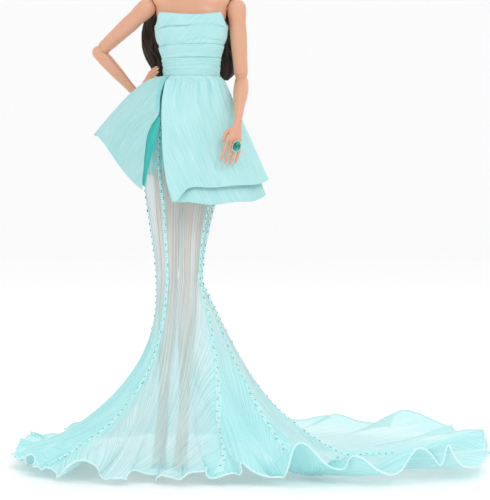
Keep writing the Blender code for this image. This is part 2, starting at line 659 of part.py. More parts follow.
def build_chest():
    """Front and back chest halves, split at the side seam, with sockets for the neck, arms and waist."""
    heights = chest_base() + (NECK_TOP_HEIGHT - chest_base()) * np.array(CHEST_SHARES)[:, 0]
    half_widths, half_depths = chest_section(heights)
    for word, side in (("front", -1), ("back", 1)):
        rings = column_rings(BODY_X, BODY_Y, heights, half_widths, half_depths, 20, phase=0.5)
        chest = loft("chest_" + word, rings, skin())
        reach = TORSO_HALF_WIDTH + OVERRUN
        height = (NECK_TOP_HEIGHT - chest_base()) / 2
        centre = (BODY_X, BODY_Y - side * (reach - SIDE_SEAM_GAP / 2), chest_base() + height)
        axes = (Vector((1, 0, 0)), Vector((0, 1, 0)), Vector((0, 0, 1)))
        cut(chest, block(chest.name + "_half", centre, axes, (reach, reach, height + OVERRUN), skin()))
        for arm_side in (-1, 1):
            shoulder = Vector((BODY_X + arm_side * SHOULDER_HALF_SPAN, BODY_Y, SHOULDER_HEIGHT))
            stem_socket(chest, shoulder, (-arm_side, 0, 0), SHOULDER_RADIUS, SHOULDER_DISC_WIDTH)
            clear = SHOULDER_RADIUS + GAP
            away = Vector((arm_side * clear, 0, 0))
            cut(chest, rod("{}_arm_{}".format(chest.name, arm_side), shoulder + away * 2, shoulder - away,
                           clear + OVERRUN, skin(), sides=14))
        cut(chest, neck_socket(chest.name + "_neck"))
        bore_top = chest_base() + WAIST_PEG_LENGTH / 2 + GAP
        bore_start = (BODY_X, BODY_Y, chest_base() - OVERRUN)
        cut(chest, rod(chest.name + "_waist", bore_start, (BODY_X, BODY_Y, bore_top), WAIST_PEG_RADIUS + GAP,
                       skin()))


def nod_pivot():
    return Vector((BODY_X, BODY_Y, NECK_TOP_HEIGHT + NECK_DISC_RADIUS + GAP))


def neck_socket(name):
    pivot = nod_pivot()
    low = NECK_TOP_HEIGHT - STEM_DEPTH - 2 * GAP
    return rod(name, (pivot.x, pivot.y, low), (pivot.x, pivot.y, NECK_TOP_HEIGHT + OVERRUN),
               stem_radius(NECK_DISC_WIDTH) + GAP, skin())


def build_waist():
    """Waist peg and pelvis, with round hollows for the thighs and a bore for the hip axle."""
    middle = chest_base() - GAP
    half = WAIST_PEG_LENGTH / 2
    rod("waist_peg", (BODY_X, BODY_Y, middle - half), (BODY_X, BODY_Y, middle + half), WAIST_PEG_RADIUS, skin())
    shares = np.array(PELVIS_SHARES)
    heights = middle - PELVIS_HEIGHT * (1 - shares[:, 0])
    centres = BODY_X - HIP_SWAY * (1 - shares[:, 0])
    rings = column_rings(centres, BODY_Y, heights, shares[:, 1] * PELVIS_HALF_WIDTH,
                         shares[:, 2] * PELVIS_HALF_DEPTH, 20, phase=0.5)
    pelvis = loft("pelvis", rings, skin())
    for side in (-1, 1):
        hip = hip_pivot(side)
        clear = THIGH_RADIUS + GAP
        stations = dome(clear)
        stations += [(2 * OVERRUN, clear + GAP, clear + GAP), (4 * OVERRUN, clear + 2 * GAP, clear + OVERRUN)]
        hollow = limb_rings(hip, leg_values(side)[0], (1, 0, 0), stations, 14)
        cut(pelvis, loft("pelvis_hollow_{}".format(side), hollow, skin()))
    start, end = hip_axle_ends()
    cut(pelvis, rod("pelvis_axle_bore", start, end, HIP_AXLE_RADIUS + GAP, skin()))
    cut(pelvis, rod("pelvis_peg_bore", (BODY_X, BODY_Y, middle - WAIST_PEG_LENGTH / 2 - GAP),
                    (BODY_X, BODY_Y, middle + OVERRUN), WAIST_PEG_RADIUS + GAP, skin()))
    rod("hip_axle", start, end, HIP_AXLE_RADIUS, skin())


def hip_pivot(side):
    return Vector((BODY_X - HIP_SWAY + side * HIP_HALF_SPAN, BODY_Y, HIP_HEIGHT))


def hip_axle_ends():
    reach = Vector((THIGH_RADIUS * 0.6, 0, 0))
    return hip_pivot(-1) - reach, hip_pivot(1) + reach


def leg_values(side):
    """Knee, ankle and forefoot of one leg."""
    if side < 0:
        knee = Vector((RIGHT_KNEE_X, BODY_Y + RIGHT_KNEE_BACK, KNEE_HEIGHT))
        foot = Vector((RIGHT_FOOT_X, RIGHT_FOOT_BACK, 0))
    else:
        knee = Vector((LEFT_KNEE_X, BODY_Y + LEFT_KNEE_BACK, KNEE_HEIGHT))
        foot = Vector((LEFT_FOOT_X, LEFT_FOOT_BACK, 0))
    ankle = foot + Vector((ANKLE_IN, ANKLE_BACK, ANKLE_HEIGHT))
    return knee, ankle, foot


def build_leg(side):
    """Thigh, knee peg, and a shin that ends in an arched foot."""
    word = "right" if side < 0 else "left"
    hip = hip_pivot(side)
    knee, ankle, foot = leg_values(side)
    axis = Vector((1, 0, 0))
    upper = (knee - hip).normalized()
    lower = (ankle - knee).normalized()
    thigh = limb(word + "_thigh", hip, knee, THIGH_RADIUS, THIGH_RADIUS, THIGH_SHARES, KNEE_RADIUS + GAP, axis,
                 skin(), sides=14)
    reach = Vector((THIGH_RADIUS + OVERRUN, 0, 0))
    start, end = (hip - reach, hip + reach)
    cut(thigh, rod(thigh.name + "_bore", start, end, HIP_AXLE_RADIUS + GAP, skin()))
    stem_socket(thigh, knee, -upper, KNEE_RADIUS, KNEE_DISC_WIDTH)
    peg(word + "_knee_peg", knee, -upper, axis, KNEE_DISC_RADIUS, KNEE_DISC_WIDTH, KNEE_RADIUS, skin())

    path, across, deep = foot_path(knee, ankle, foot)
    stations = dome(KNEE_RADIUS)
    top = limb_rings(knee, knee + lower, axis, stations, 12)
    rings = np.concatenate([top, path_rings(path, axis, across, deep, 12)])
    shin = loft(word + "_shin", rings, skin())
    hinge_slot(shin, knee, lower, axis, KNEE_DISC_RADIUS, KNEE_DISC_WIDTH, KNEE_RADIUS)
    build_shoe(word, foot, shin)


def foot_path(knee, ankle, foot, extra=0.0):
    """Middle line and half sizes of the shin and the arched foot; extra widens them for the shoe's hollow."""
    line = np.linspace(0.1, 1.0, 7)
    leg = np.array(knee) + line[:, None] * (np.array(ankle) - np.array(knee))
    sizes = smooth(SHIN_SHARES, line) * CALF_RADIUS
    sole = SOLE_THICKNESS + GAP + FOOT_RADIUS * 0.42
    arch = [
        foot + Vector((ANKLE_IN * 0.5, ANKLE_BACK * 0.72, ANKLE_HEIGHT * 0.62)),
        foot + Vector((0, ANKLE_BACK * 0.25, ANKLE_HEIGHT * 0.30)),
        foot + Vector((0, -TOE_FORWARD * 0.25, sole * 1.25)),
        foot + Vector((0, -TOE_FORWARD * 0.75, sole)),
        foot + Vector((0, -TOE_FORWARD, sole)),
    ]
    wide_shares = np.array([0.95, 1.0, 1.08, 0.95, 0.6])
    deep_shares = np.array([1.05, 0.75, 0.48, 0.40, 0.25])
    path = np.concatenate([leg, np.array([tuple(point) for point in arch])])
    across = np.concatenate([sizes[:, 0], FOOT_RADIUS * wide_shares]) + extra
    deep = np.concatenate([sizes[:, 1], FOOT_RADIUS * deep_shares]) + extra
    return path, across, deep


def build_shoe(word, foot, shin):
    """A pump: a sole with a shank and a heel, and an upper that covers the toes and the heel."""
    finish = material("shoe_gloss", SHOE, 0.22)
    sole_shares = np.array([
        (-1.25, 0.0, 0.45), (-1.0, 0.0, 0.80), (-0.3, 0.0, 1.0), (0.25, 0.0, 0.98), (0.9, 0.14, 0.70),
        (1.5, 0.52, 0.50), (2.0, 0.90, 0.56), (2.3, 1.0, 0.50),
    ])
    rings = []
    for travel, lift, width in sole_shares:
        y = foot.y + travel * TOE_FORWARD
        z = lift * SHANK_HEIGHT
        half = width * SOLE_HALF_WIDTH
        rings.append([
            (foot.x - half, y, z), (foot.x + half, y, z),
            (foot.x + half, y, z + SOLE_THICKNESS), (foot.x - half, y, z + SOLE_THICKNESS),
        ])
    sole = loft(word + "_shoe_sole", np.array(rings), finish)
    heel_y = foot.y + 2.0 * TOE_FORWARD
    join(sole, rod(word + "_heel", (foot.x, heel_y, 0), (foot.x, heel_y, 0.92 * SHANK_HEIGHT), HEEL_TIP_RADIUS,
                   finish, tip_radius=HEEL_TOP_RADIUS * 0.8))
    toe_shares = np.array([
        (-1.16, 0.30, 0.50), (-0.97, 0.62, 0.86), (-0.5, 0.98, 0.99), (-0.1, 1.30, 1.0), (0.22, 1.85, 0.97),
    ])
    turn = np.linspace(0, math.pi, 9)
    base = SOLE_THICKNESS + GAP
    rings = []
    for travel, height, width in toe_shares:
        across = foot.x - width * SOLE_HALF_WIDTH * np.cos(turn)
        along = np.full(len(turn), foot.y + travel * TOE_FORWARD)
        rings.append(np.stack([across, along, base + height * FOOT_RADIUS * np.sin(turn)], axis=-1))
    upper = loft(word + "_shoe_upper", np.array(rings), finish)
    side = -1 if word == "right" else 1
    knee, ankle, _ = leg_values(side)
    path, across, deep = foot_path(knee, ankle, foot, extra=GAP)
    path[-1, 1] -= GAP
    last = loft(word + "_last", path_rings(path[6:], (1, 0, 0), across[6:], deep[6:], 12), finish)
    cut(upper, last)


def head_centre():
    return np.array([BODY_X, BODY_Y - HEAD_FORWARD, HEAD_HEIGHT])


def head_surface(polar, turn, extra=0.0):
    """The head as an egg: polar runs from the crown, turn from the face; a narrow jaw and a small nose."""
    sin_polar, cos_polar = np.sin(polar), np.cos(polar)
    low = np.clip(-cos_polar, 0, 1)
    jaw = 1 - 0.34 * low ** 1.6
    face = np.clip(np.cos(turn), 0, 1)
    x = HEAD_HALF_WIDTH * jaw * sin_polar * np.sin(turn)
    front = HEAD_HALF_DEPTH * (1 - 0.10 * low) * sin_polar * np.cos(turn)
    back = HEAD_HALF_DEPTH * (1 - 0.42 * low ** 1.2) * sin_polar * np.cos(turn)
    y = -np.where(np.cos(turn) > 0, front, back)
    z = HEAD_HALF_HEIGHT * cos_polar + 0 * x
    nose = np.exp(-((polar - 1.78) / 0.17) ** 2) * np.exp(-(turn / 0.13) ** 2) * NOSE_LENGTH
    y = y - nose * (face > 0)
    grown = 1 + extra / HEAD_HALF_WIDTH + 0 * x
    return head_centre() + np.stack([x, y, z], axis=-1) * np.asarray(grown)[..., None]


def build_head():
    """Head with a hollow for the neck peg, the hair cap, and the hair behind the back."""
    rows, sides = 13, 20
    polar = np.linspace(0.12, math.pi - 0.16, rows)
    turn = np.arange(sides) * (2 * math.pi / sides)
    turn = np.where(turn > math.pi, turn - 2 * math.pi, turn)
    head = loft("head", head_surface(polar[:, None], turn[None, :]), skin())
    pivot = nod_pivot()
    along = Vector((0, 0, 1))
    axis = Vector((1, 0, 0))
    deep = Vector((0, 1, 0))
    low = NECK_TOP_HEIGHT - OVERRUN
    high = pivot.z + NECK_DISC_RADIUS + GAP
    halves = (NECK_DISC_WIDTH / 2 + GAP, NECK_RADIUS + GAP, (high - low) / 2)
    cut(head, block("head_slot", (pivot.x, pivot.y, (low + high) / 2), (axis, deep, along), halves, skin()))
    reach = axis * (NECK_RADIUS * 0.8)
    cut(head, rod("head_bore", pivot - reach, pivot + reach, axle_radius(NECK_DISC_RADIUS) + GAP, skin()))
    neck_room = rod("head_neck_room", (pivot.x, pivot.y, low), (pivot.x, pivot.y, NECK_TOP_HEIGHT + GAP),
                    NECK_RADIUS + 4 * GAP, skin(), sides=14)
    cut(head, neck_room)
    made = rod("neck_peg", pivot, (pivot.x, pivot.y, NECK_TOP_HEIGHT - STEM_DEPTH), stem_radius(NECK_DISC_WIDTH),
               skin(), sides=8)
    half = axis * (NECK_DISC_WIDTH / 2)
    join(made, rod("neck_disc", pivot - half, pivot + half, NECK_DISC_RADIUS, skin()))
    axle = axis * (NECK_RADIUS * 0.8 - GAP)
    join(made, rod("neck_axle", pivot - axle, pivot + axle, axle_radius(NECK_DISC_RADIUS), skin(), sides=10))
    build_hair()


def hair_edge(turn):
    """How far down from the crown the hair cap reaches: short over the face, long at the nape."""
    return 0.98 + 1.12 * (1 - np.clip((np.cos(turn) - 0.15) / 0.85, 0, 1)) ** 0.7


def build_hair():
    """A rooted cap around the skull and three wavy lengths behind the back."""
    rows, sides = 8, 20
    turn = np.arange(sides) * (2 * math.pi / sides)
    turn = np.where(turn > math.pi, turn - 2 * math.pi, turn)
    share = np.linspace(0.06, 1.0, rows)[:, None]
    polar = share * hair_edge(turn)[None, :]
    plump = HAIR_THICKNESS * (0.75 + 0.35 * share * (np.cos(turn)[None, :] < 0.2))
    outer = head_surface(polar, turn[None, :], CAP_GAP + plump)
    inner = head_surface(polar, turn[None, :], CAP_GAP)
    points = np.concatenate([outer.reshape(-1, 3), inner.reshape(-1, 3)])
    count = rows * sides
    faces = []
    for row in range(rows - 1):
        for side in range(sides):
            after = (side + 1) % sides
            a, b = row * sides + side, row * sides + after
            c, d = b + sides, a + sides
            faces.append((a, d, c, b))
            faces.append((count + a, count + b, count + c, count + d))
    last = (rows - 1) * sides
    for side in range(sides):
        after = (side + 1) % sides
        faces.append((last + side, count + last + side, count + last + after, last + after))
    faces.append(tuple(range(sides)))
    faces.append(tuple(count + side for side in range(sides - 1, -1, -1)))
    add_object("hair_cap", points, faces, hair())
    shares = [(0.0, 0.50, 0.55), (0.16, 0.66, 0.80), (0.35, 1.0, 1.0), (0.6, 0.98, 1.0), (0.8, 0.92, 0.9),
              (0.93, 0.66, 0.62), (1.0, 0.22, 0.25)]
    for word, place in (("right", -1), ("middle", 0), ("left", 1)):
        travel = np.linspace(0, 1, 11)
        height = LOCK_TOP_HEIGHT + (LOCK_BOTTOM_HEIGHT - LOCK_TOP_HEIGHT) * travel
        spread = np.sin(np.clip(travel * 2.2, 0, 1) * math.pi / 2)
        x = BODY_X + place * LOCK_SPACING * (0.52 + 0.48 * spread) + LOCK_WAVE * np.sin(travel * 9)
        x = x - place * LOCK_SPACING * 0.05 * travel
        start = LOCK_START_BACK - LOCK_SIDE_FORWARD * abs(place)
        y = BODY_Y + start + (LOCK_BACK - start) * spread
        path = np.stack([x, y, height], axis=-1)
        sizes = smooth(shares, travel)
        level = np.array([1.0, 0.0, 0.0])
        rings = level_rings(path, level, sizes[:, 0] * LOCK_HALF_WIDTH, sizes[:, 1] * LOCK_HALF_DEPTH, 10)
        loft("hair_" + word, rings, hair())


def level_rings(path, reference, half_across, half_deep, sides):
    """Elliptic rings that stay level along a hanging path."""
    turn = (np.arange(sides) + 0.5) * (2 * math.pi / sides)
    wide = (half_across[:, None] * np.cos(turn))[:, :, None] * reference
    thick = (half_deep[:, None] * np.sin(turn))[:, :, None] * np.array([0.0, 1.0, 0.0])
    return path[:, None, :] + wide + thick


def bodice_outside(height):
    half_width, half_depth = chest_section(height)
    return half_width + BODICE_EASE + BODICE_WALL, half_depth + BODICE_EASE + BODICE_WALL


def build_bodice():
    """The boned shell next to the body, and the folded bands outside it."""
    outer = band_rings(BODICE_BOTTOM_HEIGHT, BODICE_TOP_HEIGHT, 9, BODICE_TOP_HEIGHT, 0)
    inner = band_rings(BODICE_BOTTOM_HEIGHT, BODICE_TOP_HEIGHT, 9, BODICE_TOP_HEIGHT, -BODICE_WALL)
    shell("bodice_shell", outer, inner, mint(), wraps=True)
    tops = [NECKLINE_HEIGHT, BUST_BAND_HEIGHT, MIDRIFF_HEIGHT, WAIST_PLEATS_HEIGHT, WAISTBAND_HEIGHT]
    names = ["neckline_band", "bust_band", "midriff_band", "waist_pleats", "waistband"]
    bottoms = tops[1:] + [BODICE_BOTTOM_HEIGHT]
    flare_shares = [0.9, 1.0, 0.7, 0.35, 0.1]
    for name, top, bottom, flare in zip(names, tops, bottoms, flare_shares):
        outer = band_rings(bottom + GAP, top, 3, NECKLINE_HEIGHT, GAP + BAND_WALL, BAND_FLARE * flare)
        inner = band_rings(bottom + GAP, top, 3, NECKLINE_HEIGHT, GAP, BAND_FLARE * flare)
        shell(name, outer, inner, mint(), wraps=True)


def band_rings(bottom, top, rows, edge, offset, flare=0.0, sides=20):
    """Rings round the bodice at an offset; a top that is the bodice's own edge dips under the arms."""
    turn = (np.arange(sides) + 0.5) * (2 * math.pi / sides)
    under_arm = np.sin(turn) ** 4
    dip = NECKLINE_DIP * under_arm * (top >= edge)
    rise = np.linspace(0, 1, rows)[:, None]
    height = bottom + (top - dip - bottom) * rise
    wide, deep = bodice_outside(height)
    puff = offset + flare * (0.25 + 0.75 * rise) * (1 - 0.35 * under_arm)
    x = BODY_X + (wide + puff) * np.sin(turn)
    y = BODY_Y - (deep + puff) * np.cos(turn)
    return np.stack([x, y, height], axis=-1)


def peplum_point(angle, travel, shrink=0.0):
    """A point of the peplum: angle in degrees from the front, travel from the waist to the hem."""
    values = smooth(PEPLUM_SHARES, (np.asarray(angle, dtype=float) + 180) % 360 - 180)
    reach = values[..., 0] * PEPLUM_REACH
    drop = values[..., 1] * PEPLUM_DROP
    power = values[..., 2]
    turn = np.radians(angle)
    out = reach * travel ** power
    fold = PEPLUM_FOLD * travel * (1 - 0.5 * travel) * np.sin(turn * 9 + 0.6)
    out = out + fold - shrink * np.minimum(1.0, travel * 4)
    x = BODY_X + (PEPLUM_WAIST_WIDTH + out) * np.sin(turn)
    y = BODY_Y - (PEPLUM_WAIST_DEPTH + out) * np.cos(turn)
    z = PEPLUM_TOP_HEIGHT - drop * travel + 0 * x
    return np.stack([x, y, z], axis=-1)


def sheet_walls(point, first, second, wall, flat_floor=False):
    """Outer and inner grids of a sheet: its middle surface moved half a wall each way along its normal."""
    step_first, step_second = 0.2, 0.004
    middle = point(first, second)
    along = point(first + step_first, second) - point(first - step_first, second)
    down = point(first, second + step_second) - point(first, second - step_second)
    normal = np.cross(along, down)
    normal /= np.maximum(np.linalg.norm(normal, axis=-1), 1e-12)[..., None]
    outer = middle - normal * (wall / 2)
    inner = middle + normal * (wall / 2)
    if flat_floor:
        for grid in (outer, inner):
            grid[..., 2] = np.maximum(grid[..., 2], FLOOR_GAP)
    return outer, inner


def build_peplum():
    """Left and right panels that meet at the back and part at the slit, and the second layer on the right."""
    rows = np.linspace(0.02, 1.0, 8)[:, None]
    half_gap = math.degrees(GAP / PEPLUM_WAIST_WIDTH)
    columns = np.linspace(0, 1, 17)[None, :]
    slit = SLIT_TOP_DEGREES + (SLIT_LEFT_DEGREES - SLIT_TOP_DEGREES) * rows ** 1.5 - half_gap
    angle = (-180 + half_gap) + (slit + 180 - half_gap) * columns
    outer, inner = sheet_walls(peplum_point, angle, rows + 0 * columns, PEPLUM_WALL)
    shell("peplum_left", outer, inner, mint(), wraps=False)
    slit = SLIT_TOP_DEGREES + (SLIT_RIGHT_DEGREES - SLIT_TOP_DEGREES) * rows ** 1.2 + half_gap
    columns = np.linspace(0, 1, 22)[None, :]
    angle = slit + (180 - half_gap - slit) * columns
    outer, inner = sheet_walls(peplum_point, angle, (rows + 0 * columns) * 0.94, PEPLUM_WALL)
    shell("peplum_right", outer, inner, mint(), wraps=False)

    def under_point(turned, travel):
        return peplum_point(turned, travel, shrink=LAYER_SPACING + PEPLUM_WALL)

    rows = np.linspace(0.26, 1.0, 6)[:, None]
    slit = SLIT_TOP_DEGREES + (SLIT_RIGHT_DEGREES - SLIT_TOP_DEGREES) * rows ** 1.2 + half_gap
    angle = slit + (180 - half_gap - slit) * columns
    outer, inner = sheet_walls(under_point, angle, rows + 0 * columns, PEPLUM_WALL)
    shell("peplum_right_under", outer, inner, mint(), wraps=False)


def skirt_section(height):
    """Centre, half width and half depth of the fitted skirt between its top and the knees."""
    share = (SKIRT_TOP_HEIGHT - np.asarray(height, dtype=float)) / (SKIRT_TOP_HEIGHT - KNEE_HEIGHT)
    centre = BODY_X - KNEE_SWAY * (1 - smooth(SKIRT_CENTRE_SHARES, share)[..., 0])
    values = smooth(SKIRT_SECTION_SHARES, share)
    return centre, values[..., 0] * SKIRT_HALF_WIDTH, values[..., 1] * SKIRT_HALF_DEPTH


def skirt_point(angle, travel):
    """A point of the skirt: fitted down to the knees, then falling outward in folds, then lying as a train."""
    angle, travel = np.broadcast_arrays(np.asarray(angle, dtype=float), np.asarray(travel, dtype=float))
    turn = np.radians(angle)
    upper = np.clip(travel / SKIRT_KNEE_SHARE, 0, 1)
    height = SKIRT_TOP_HEIGHT + (KNEE_HEIGHT - SKIRT_TOP_HEIGHT) * upper
    centre, wide, deep = skirt_section(height)
    behind = np.clip(-np.cos(turn), 0, 1) ** 0.5 * np.clip(2.4 * upper - 1.4, 0, 1)
    deep = deep * (1 + BACK_FULLNESS_SHARE * behind)
    x = centre + wide * np.sin(turn)
    y = BODY_Y - deep * np.cos(turn)
    lower = np.clip((travel - SKIRT_KNEE_SHARE) / (1 - SKIRT_KNEE_SHARE), 0, 2)
    wrapped = (angle + 180) % 360 - 180
    full = smooth(HEM_SHARES, wrapped)[..., 0] * TRAIN_REACH - wide
    flare = np.minimum(smooth(FLARE_SHARES, wrapped)[..., 0] * FLARE_REACH, full)
    fall = np.hypot(flare, KNEE_HEIGHT)
    walked = lower * (fall + full - flare)
    dropped = walked / fall
    drop = np.minimum(dropped, 1)
    out = flare * drop ** FLARE_POWER + np.maximum(walked - fall, 0)
    folds = np.sin(turn * FOLD_COUNTS[0] + 0.8) + 0.6 * np.sin(turn * FOLD_COUNTS[1] + 2.1)
    out = out + FOLD_DEPTH * drop ** 2.2 * folds * (full > 0)
    x = x + out * np.sin(turn)
    y = y - out * np.cos(turn)
    falling = np.maximum(1 - dropped, 0) * KNEE_HEIGHT
    broad = (1 + np.sin(turn * RUFFLE_COUNTS[0] + 0.4)) / 2
    fine = (1 + np.sin(turn * RUFFLE_COUNTS[1] + out / RUFFLE_SPACING)) / 2
    ruffle = RUFFLE_HEIGHT * (np.clip(dropped - 0.55, 0, 1) * broad + 0.8 * np.clip(lower - 0.6, 0, 1) * fine)
    z = np.where(travel < SKIRT_KNEE_SHARE, height, np.hypot(falling, HEM_REST) + ruffle)
    return np.stack([x, y, z], axis=-1)


def seam_angle(name, travel):
    """A seam runs straight down the fitted part and swings to its place at the hem below the knees."""
    knee, hem = GORE_SEAM_DEGREES[name]
    lower = np.clip((travel - SKIRT_KNEE_SHARE) / (1 - SKIRT_KNEE_SHARE), 0, 1)
    return knee + (hem - knee) * lower ** 0.8


def reach_from_axis(points):
    """Distance of points from the line that the skirt's angles turn about, level by level."""
    centre, _, _ = skirt_section(np.clip(points[..., 2], KNEE_HEIGHT, SKIRT_TOP_HEIGHT))
    return np.hypot(points[..., 0] - centre, points[..., 1] - BODY_Y)


def build_skirt():
    """Six gores between the seams, and the opaque lining at the hips."""
    fitted = np.linspace(0, SKIRT_KNEE_SHARE, 6)[:-1]
    travel = np.concatenate([fitted, np.linspace(SKIRT_KNEE_SHARE, 1, 9)])[:, None]
    names = list(GORE_SEAM_DEGREES)
    gores = ["front_gore", "godet_gore", "side_gore", "train_gore", "back_gore", "left_gore"]
    counts = [11, 7, 8, 9, 10, 10]
    for gore, first, second, count in zip(gores, names, names[1:] + names[:1], counts):
        start = seam_angle(first, travel)
        end = seam_angle(second, travel) + (360 if second == names[0] else 0)
        seam_gap = GAP * (1 + 1.6 * np.clip(travel - SKIRT_KNEE_SHARE, 0, 1))
        half_gap = np.degrees(seam_gap / 2 / reach_from_axis(skirt_point(start, travel)))
        columns = np.linspace(0, 1, count)[None, :]
        angle = start + half_gap + (end - start - 2 * half_gap) * columns
        outer, inner = sheet_walls(skirt_point, angle, travel + 0 * columns, CLOTH_WALL, flat_floor=True)
        shell("skirt_" + gore, outer, inner, sheer(), wraps=False)
    heights = np.linspace(SKIRT_TOP_HEIGHT - LINING_TOP_DROP, LINING_BOTTOM_HEIGHT, 6)
    centre, wide, deep = skirt_section(heights)
    step = CLOTH_WALL / 2 + LINING_SPACING
    outer = column_rings(centre, BODY_Y, heights, wide - step, deep - step, 22)
    inner = column_rings(centre, BODY_Y, heights, wide - step - LINING_WALL,
                         deep - step - LINING_WALL, 22)
    shell("hip_lining", outer, inner, mint(), wraps=True)


def build_ring():
    """Band around the left hand's third finger, a setting and an oval stone."""
    _, _, wrist, reach, back = side_values(1)
    normal, across = palm_axes(reach, back)
    number = 1 if across.x < 0 else 2
    base, middle, _ = finger_joints(wrist, reach, back, number)
    finger = (middle - base).normalized()
    centre = base.lerp(middle, 0.60)
    normal = (normal - finger * normal.dot(finger)).normalized()
    across = finger.cross(normal)
    reach = finger
    silver = material("ring_silver", SILVER, 0.2, 1.0)
    half = reach * (RING_WIDTH / 2)
    band = rod("ring_band", centre - half, centre + half, RING_RADIUS, silver, sides=20)
    cut(band, rod("ring_hole", centre - half * 2, centre + half * 2, RING_RADIUS - RING_WALL, silver, sides=20))
    seat = centre + normal * (RING_RADIUS + GAP)
    turn = np.arange(20) * (2 * math.pi / 20)
    long_way = (reach * math.cos(0.26) + across * math.sin(0.26)).normalized()
    wide_way = normal.cross(long_way).normalized()

    def ovals(levels):
        rings = []
        for height, share in levels:
            rim = (np.cos(turn)[:, None] * np.array(long_way) * STONE_LENGTH
                   + np.sin(turn)[:, None] * np.array(wide_way) * STONE_WIDTH) / 2 * share
            rings.append(np.array(seat) + np.array(normal) * height + rim)
        return np.array(rings)

    base = STONE_HEIGHT * 0.4
    loft("ring_setting", ovals([(0, 0.8), (base * 0.5, 1.12), (base, 1.16)]), silver)
    loft("ring_stone", ovals([
        (base + GAP, 1.0), (base + STONE_HEIGHT * 0.35, 0.97), (base + STONE_HEIGHT * 0.75, 0.72),
        (base + STONE_HEIGHT, 0.30),
    ]), material("ring_stone", EMERALD, 0.08))


def main():
    for old in list(bpy.data.objects):
        bpy.data.objects.remove(old, do_unlink=True)
    build_chest()
    build_waist()
    build_head()
    for side in (-1, 1):
        build_arm(side)
        build_leg(side)
    build_ring()
    build_bodice()
    build_peplum()
    build_skirt()


main()
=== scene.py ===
"""Fashion doll in a mint gown: the doll's vinyl, hair, gown, train, ring and shoes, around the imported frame.

Sizes are in metres and match the frame. The doll faces -Y and its left side is at +X. A shape is a formula on a
grid of two parameters: an angle round the body, in degrees from the front towards the doll's left, and a travel.
"""

import math

import bmesh
import bpy
import numpy as np
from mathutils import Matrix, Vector


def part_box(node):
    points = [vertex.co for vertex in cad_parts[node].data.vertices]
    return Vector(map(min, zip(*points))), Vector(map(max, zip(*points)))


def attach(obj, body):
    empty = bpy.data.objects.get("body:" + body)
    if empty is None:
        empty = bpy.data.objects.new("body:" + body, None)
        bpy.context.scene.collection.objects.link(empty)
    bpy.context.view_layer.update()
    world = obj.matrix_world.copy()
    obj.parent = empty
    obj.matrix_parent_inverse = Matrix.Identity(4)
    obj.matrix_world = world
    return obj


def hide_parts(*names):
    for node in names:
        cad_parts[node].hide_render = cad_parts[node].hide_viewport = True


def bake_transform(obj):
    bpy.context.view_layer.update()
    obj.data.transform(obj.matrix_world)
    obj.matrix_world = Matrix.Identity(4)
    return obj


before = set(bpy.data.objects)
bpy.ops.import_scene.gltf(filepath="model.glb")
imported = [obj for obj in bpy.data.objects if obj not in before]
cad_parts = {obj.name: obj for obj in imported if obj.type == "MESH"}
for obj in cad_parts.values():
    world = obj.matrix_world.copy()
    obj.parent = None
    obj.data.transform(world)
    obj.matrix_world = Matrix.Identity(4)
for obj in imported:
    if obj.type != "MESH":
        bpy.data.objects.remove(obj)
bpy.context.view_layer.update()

MM = 0.001

# Stance and heights, as in the frame
BODY_X = 5.6 * MM
BODY_Y = 8.0 * MM
HIP_SWAY = 2.8 * MM
KNEE_SWAY = 6.4 * MM
KNEE_HEIGHT = 98.0 * MM
HIP_HEIGHT = 168.0 * MM
WAIST_HEIGHT = 205.0 * MM
WAIST_SEAM_DROP = 2.0 * MM
SHOULDER_HEIGHT = 240.5 * MM
NECK_TOP_HEIGHT = 260.0 * MM
ANKLE_HEIGHT = 28.0 * MM
TORSO_HALF_WIDTH = 18.3 * MM
TORSO_HALF_DEPTH = 11.2 * MM
SHOULDER_HALF_SPAN = 23.6 * MM
SHOULDER_RADIUS = 5.0 * MM
ARM_RADIUS = 4.3 * MM
ELBOW_RADIUS = 3.6 * MM
FOREARM_RADIUS = 3.6 * MM
WRIST_RADIUS = 2.1 * MM
HAND_LENGTH = 24.0 * MM
PALM_LENGTH = HAND_LENGTH * 0.47
PALM_WIDTH = 7.4 * MM
PALM_THICKNESS = 3.0 * MM
FINGER_RADIUS = 0.90 * MM
THUMB_RADIUS = 1.05 * MM
HIP_HALF_SPAN = 9.2 * MM
THIGH_RADIUS = 7.8 * MM
KNEE_RADIUS = 4.8 * MM
CALF_RADIUS = 5.2 * MM
FOOT_RADIUS = 3.4 * MM
TOE_FORWARD = 6.5 * MM
ANKLE_BACK = 10.5 * MM
ANKLE_IN = 1.4 * MM
SOLE_THICKNESS = 1.0 * MM
SOLE_HALF_WIDTH = 4.4 * MM
SHANK_HEIGHT = 15.5 * MM
GAP = 0.3 * MM
HEAD_HALF_WIDTH = 12.2 * MM
HEAD_HALF_DEPTH = 14.2 * MM
HEAD_HALF_HEIGHT = 17.6 * MM
HEAD_CENTRE = np.array([5.6, 5.8, 280.0]) * MM
HAIR_THICKNESS = 3.0 * MM
CAP_GAP = 0.9 * MM

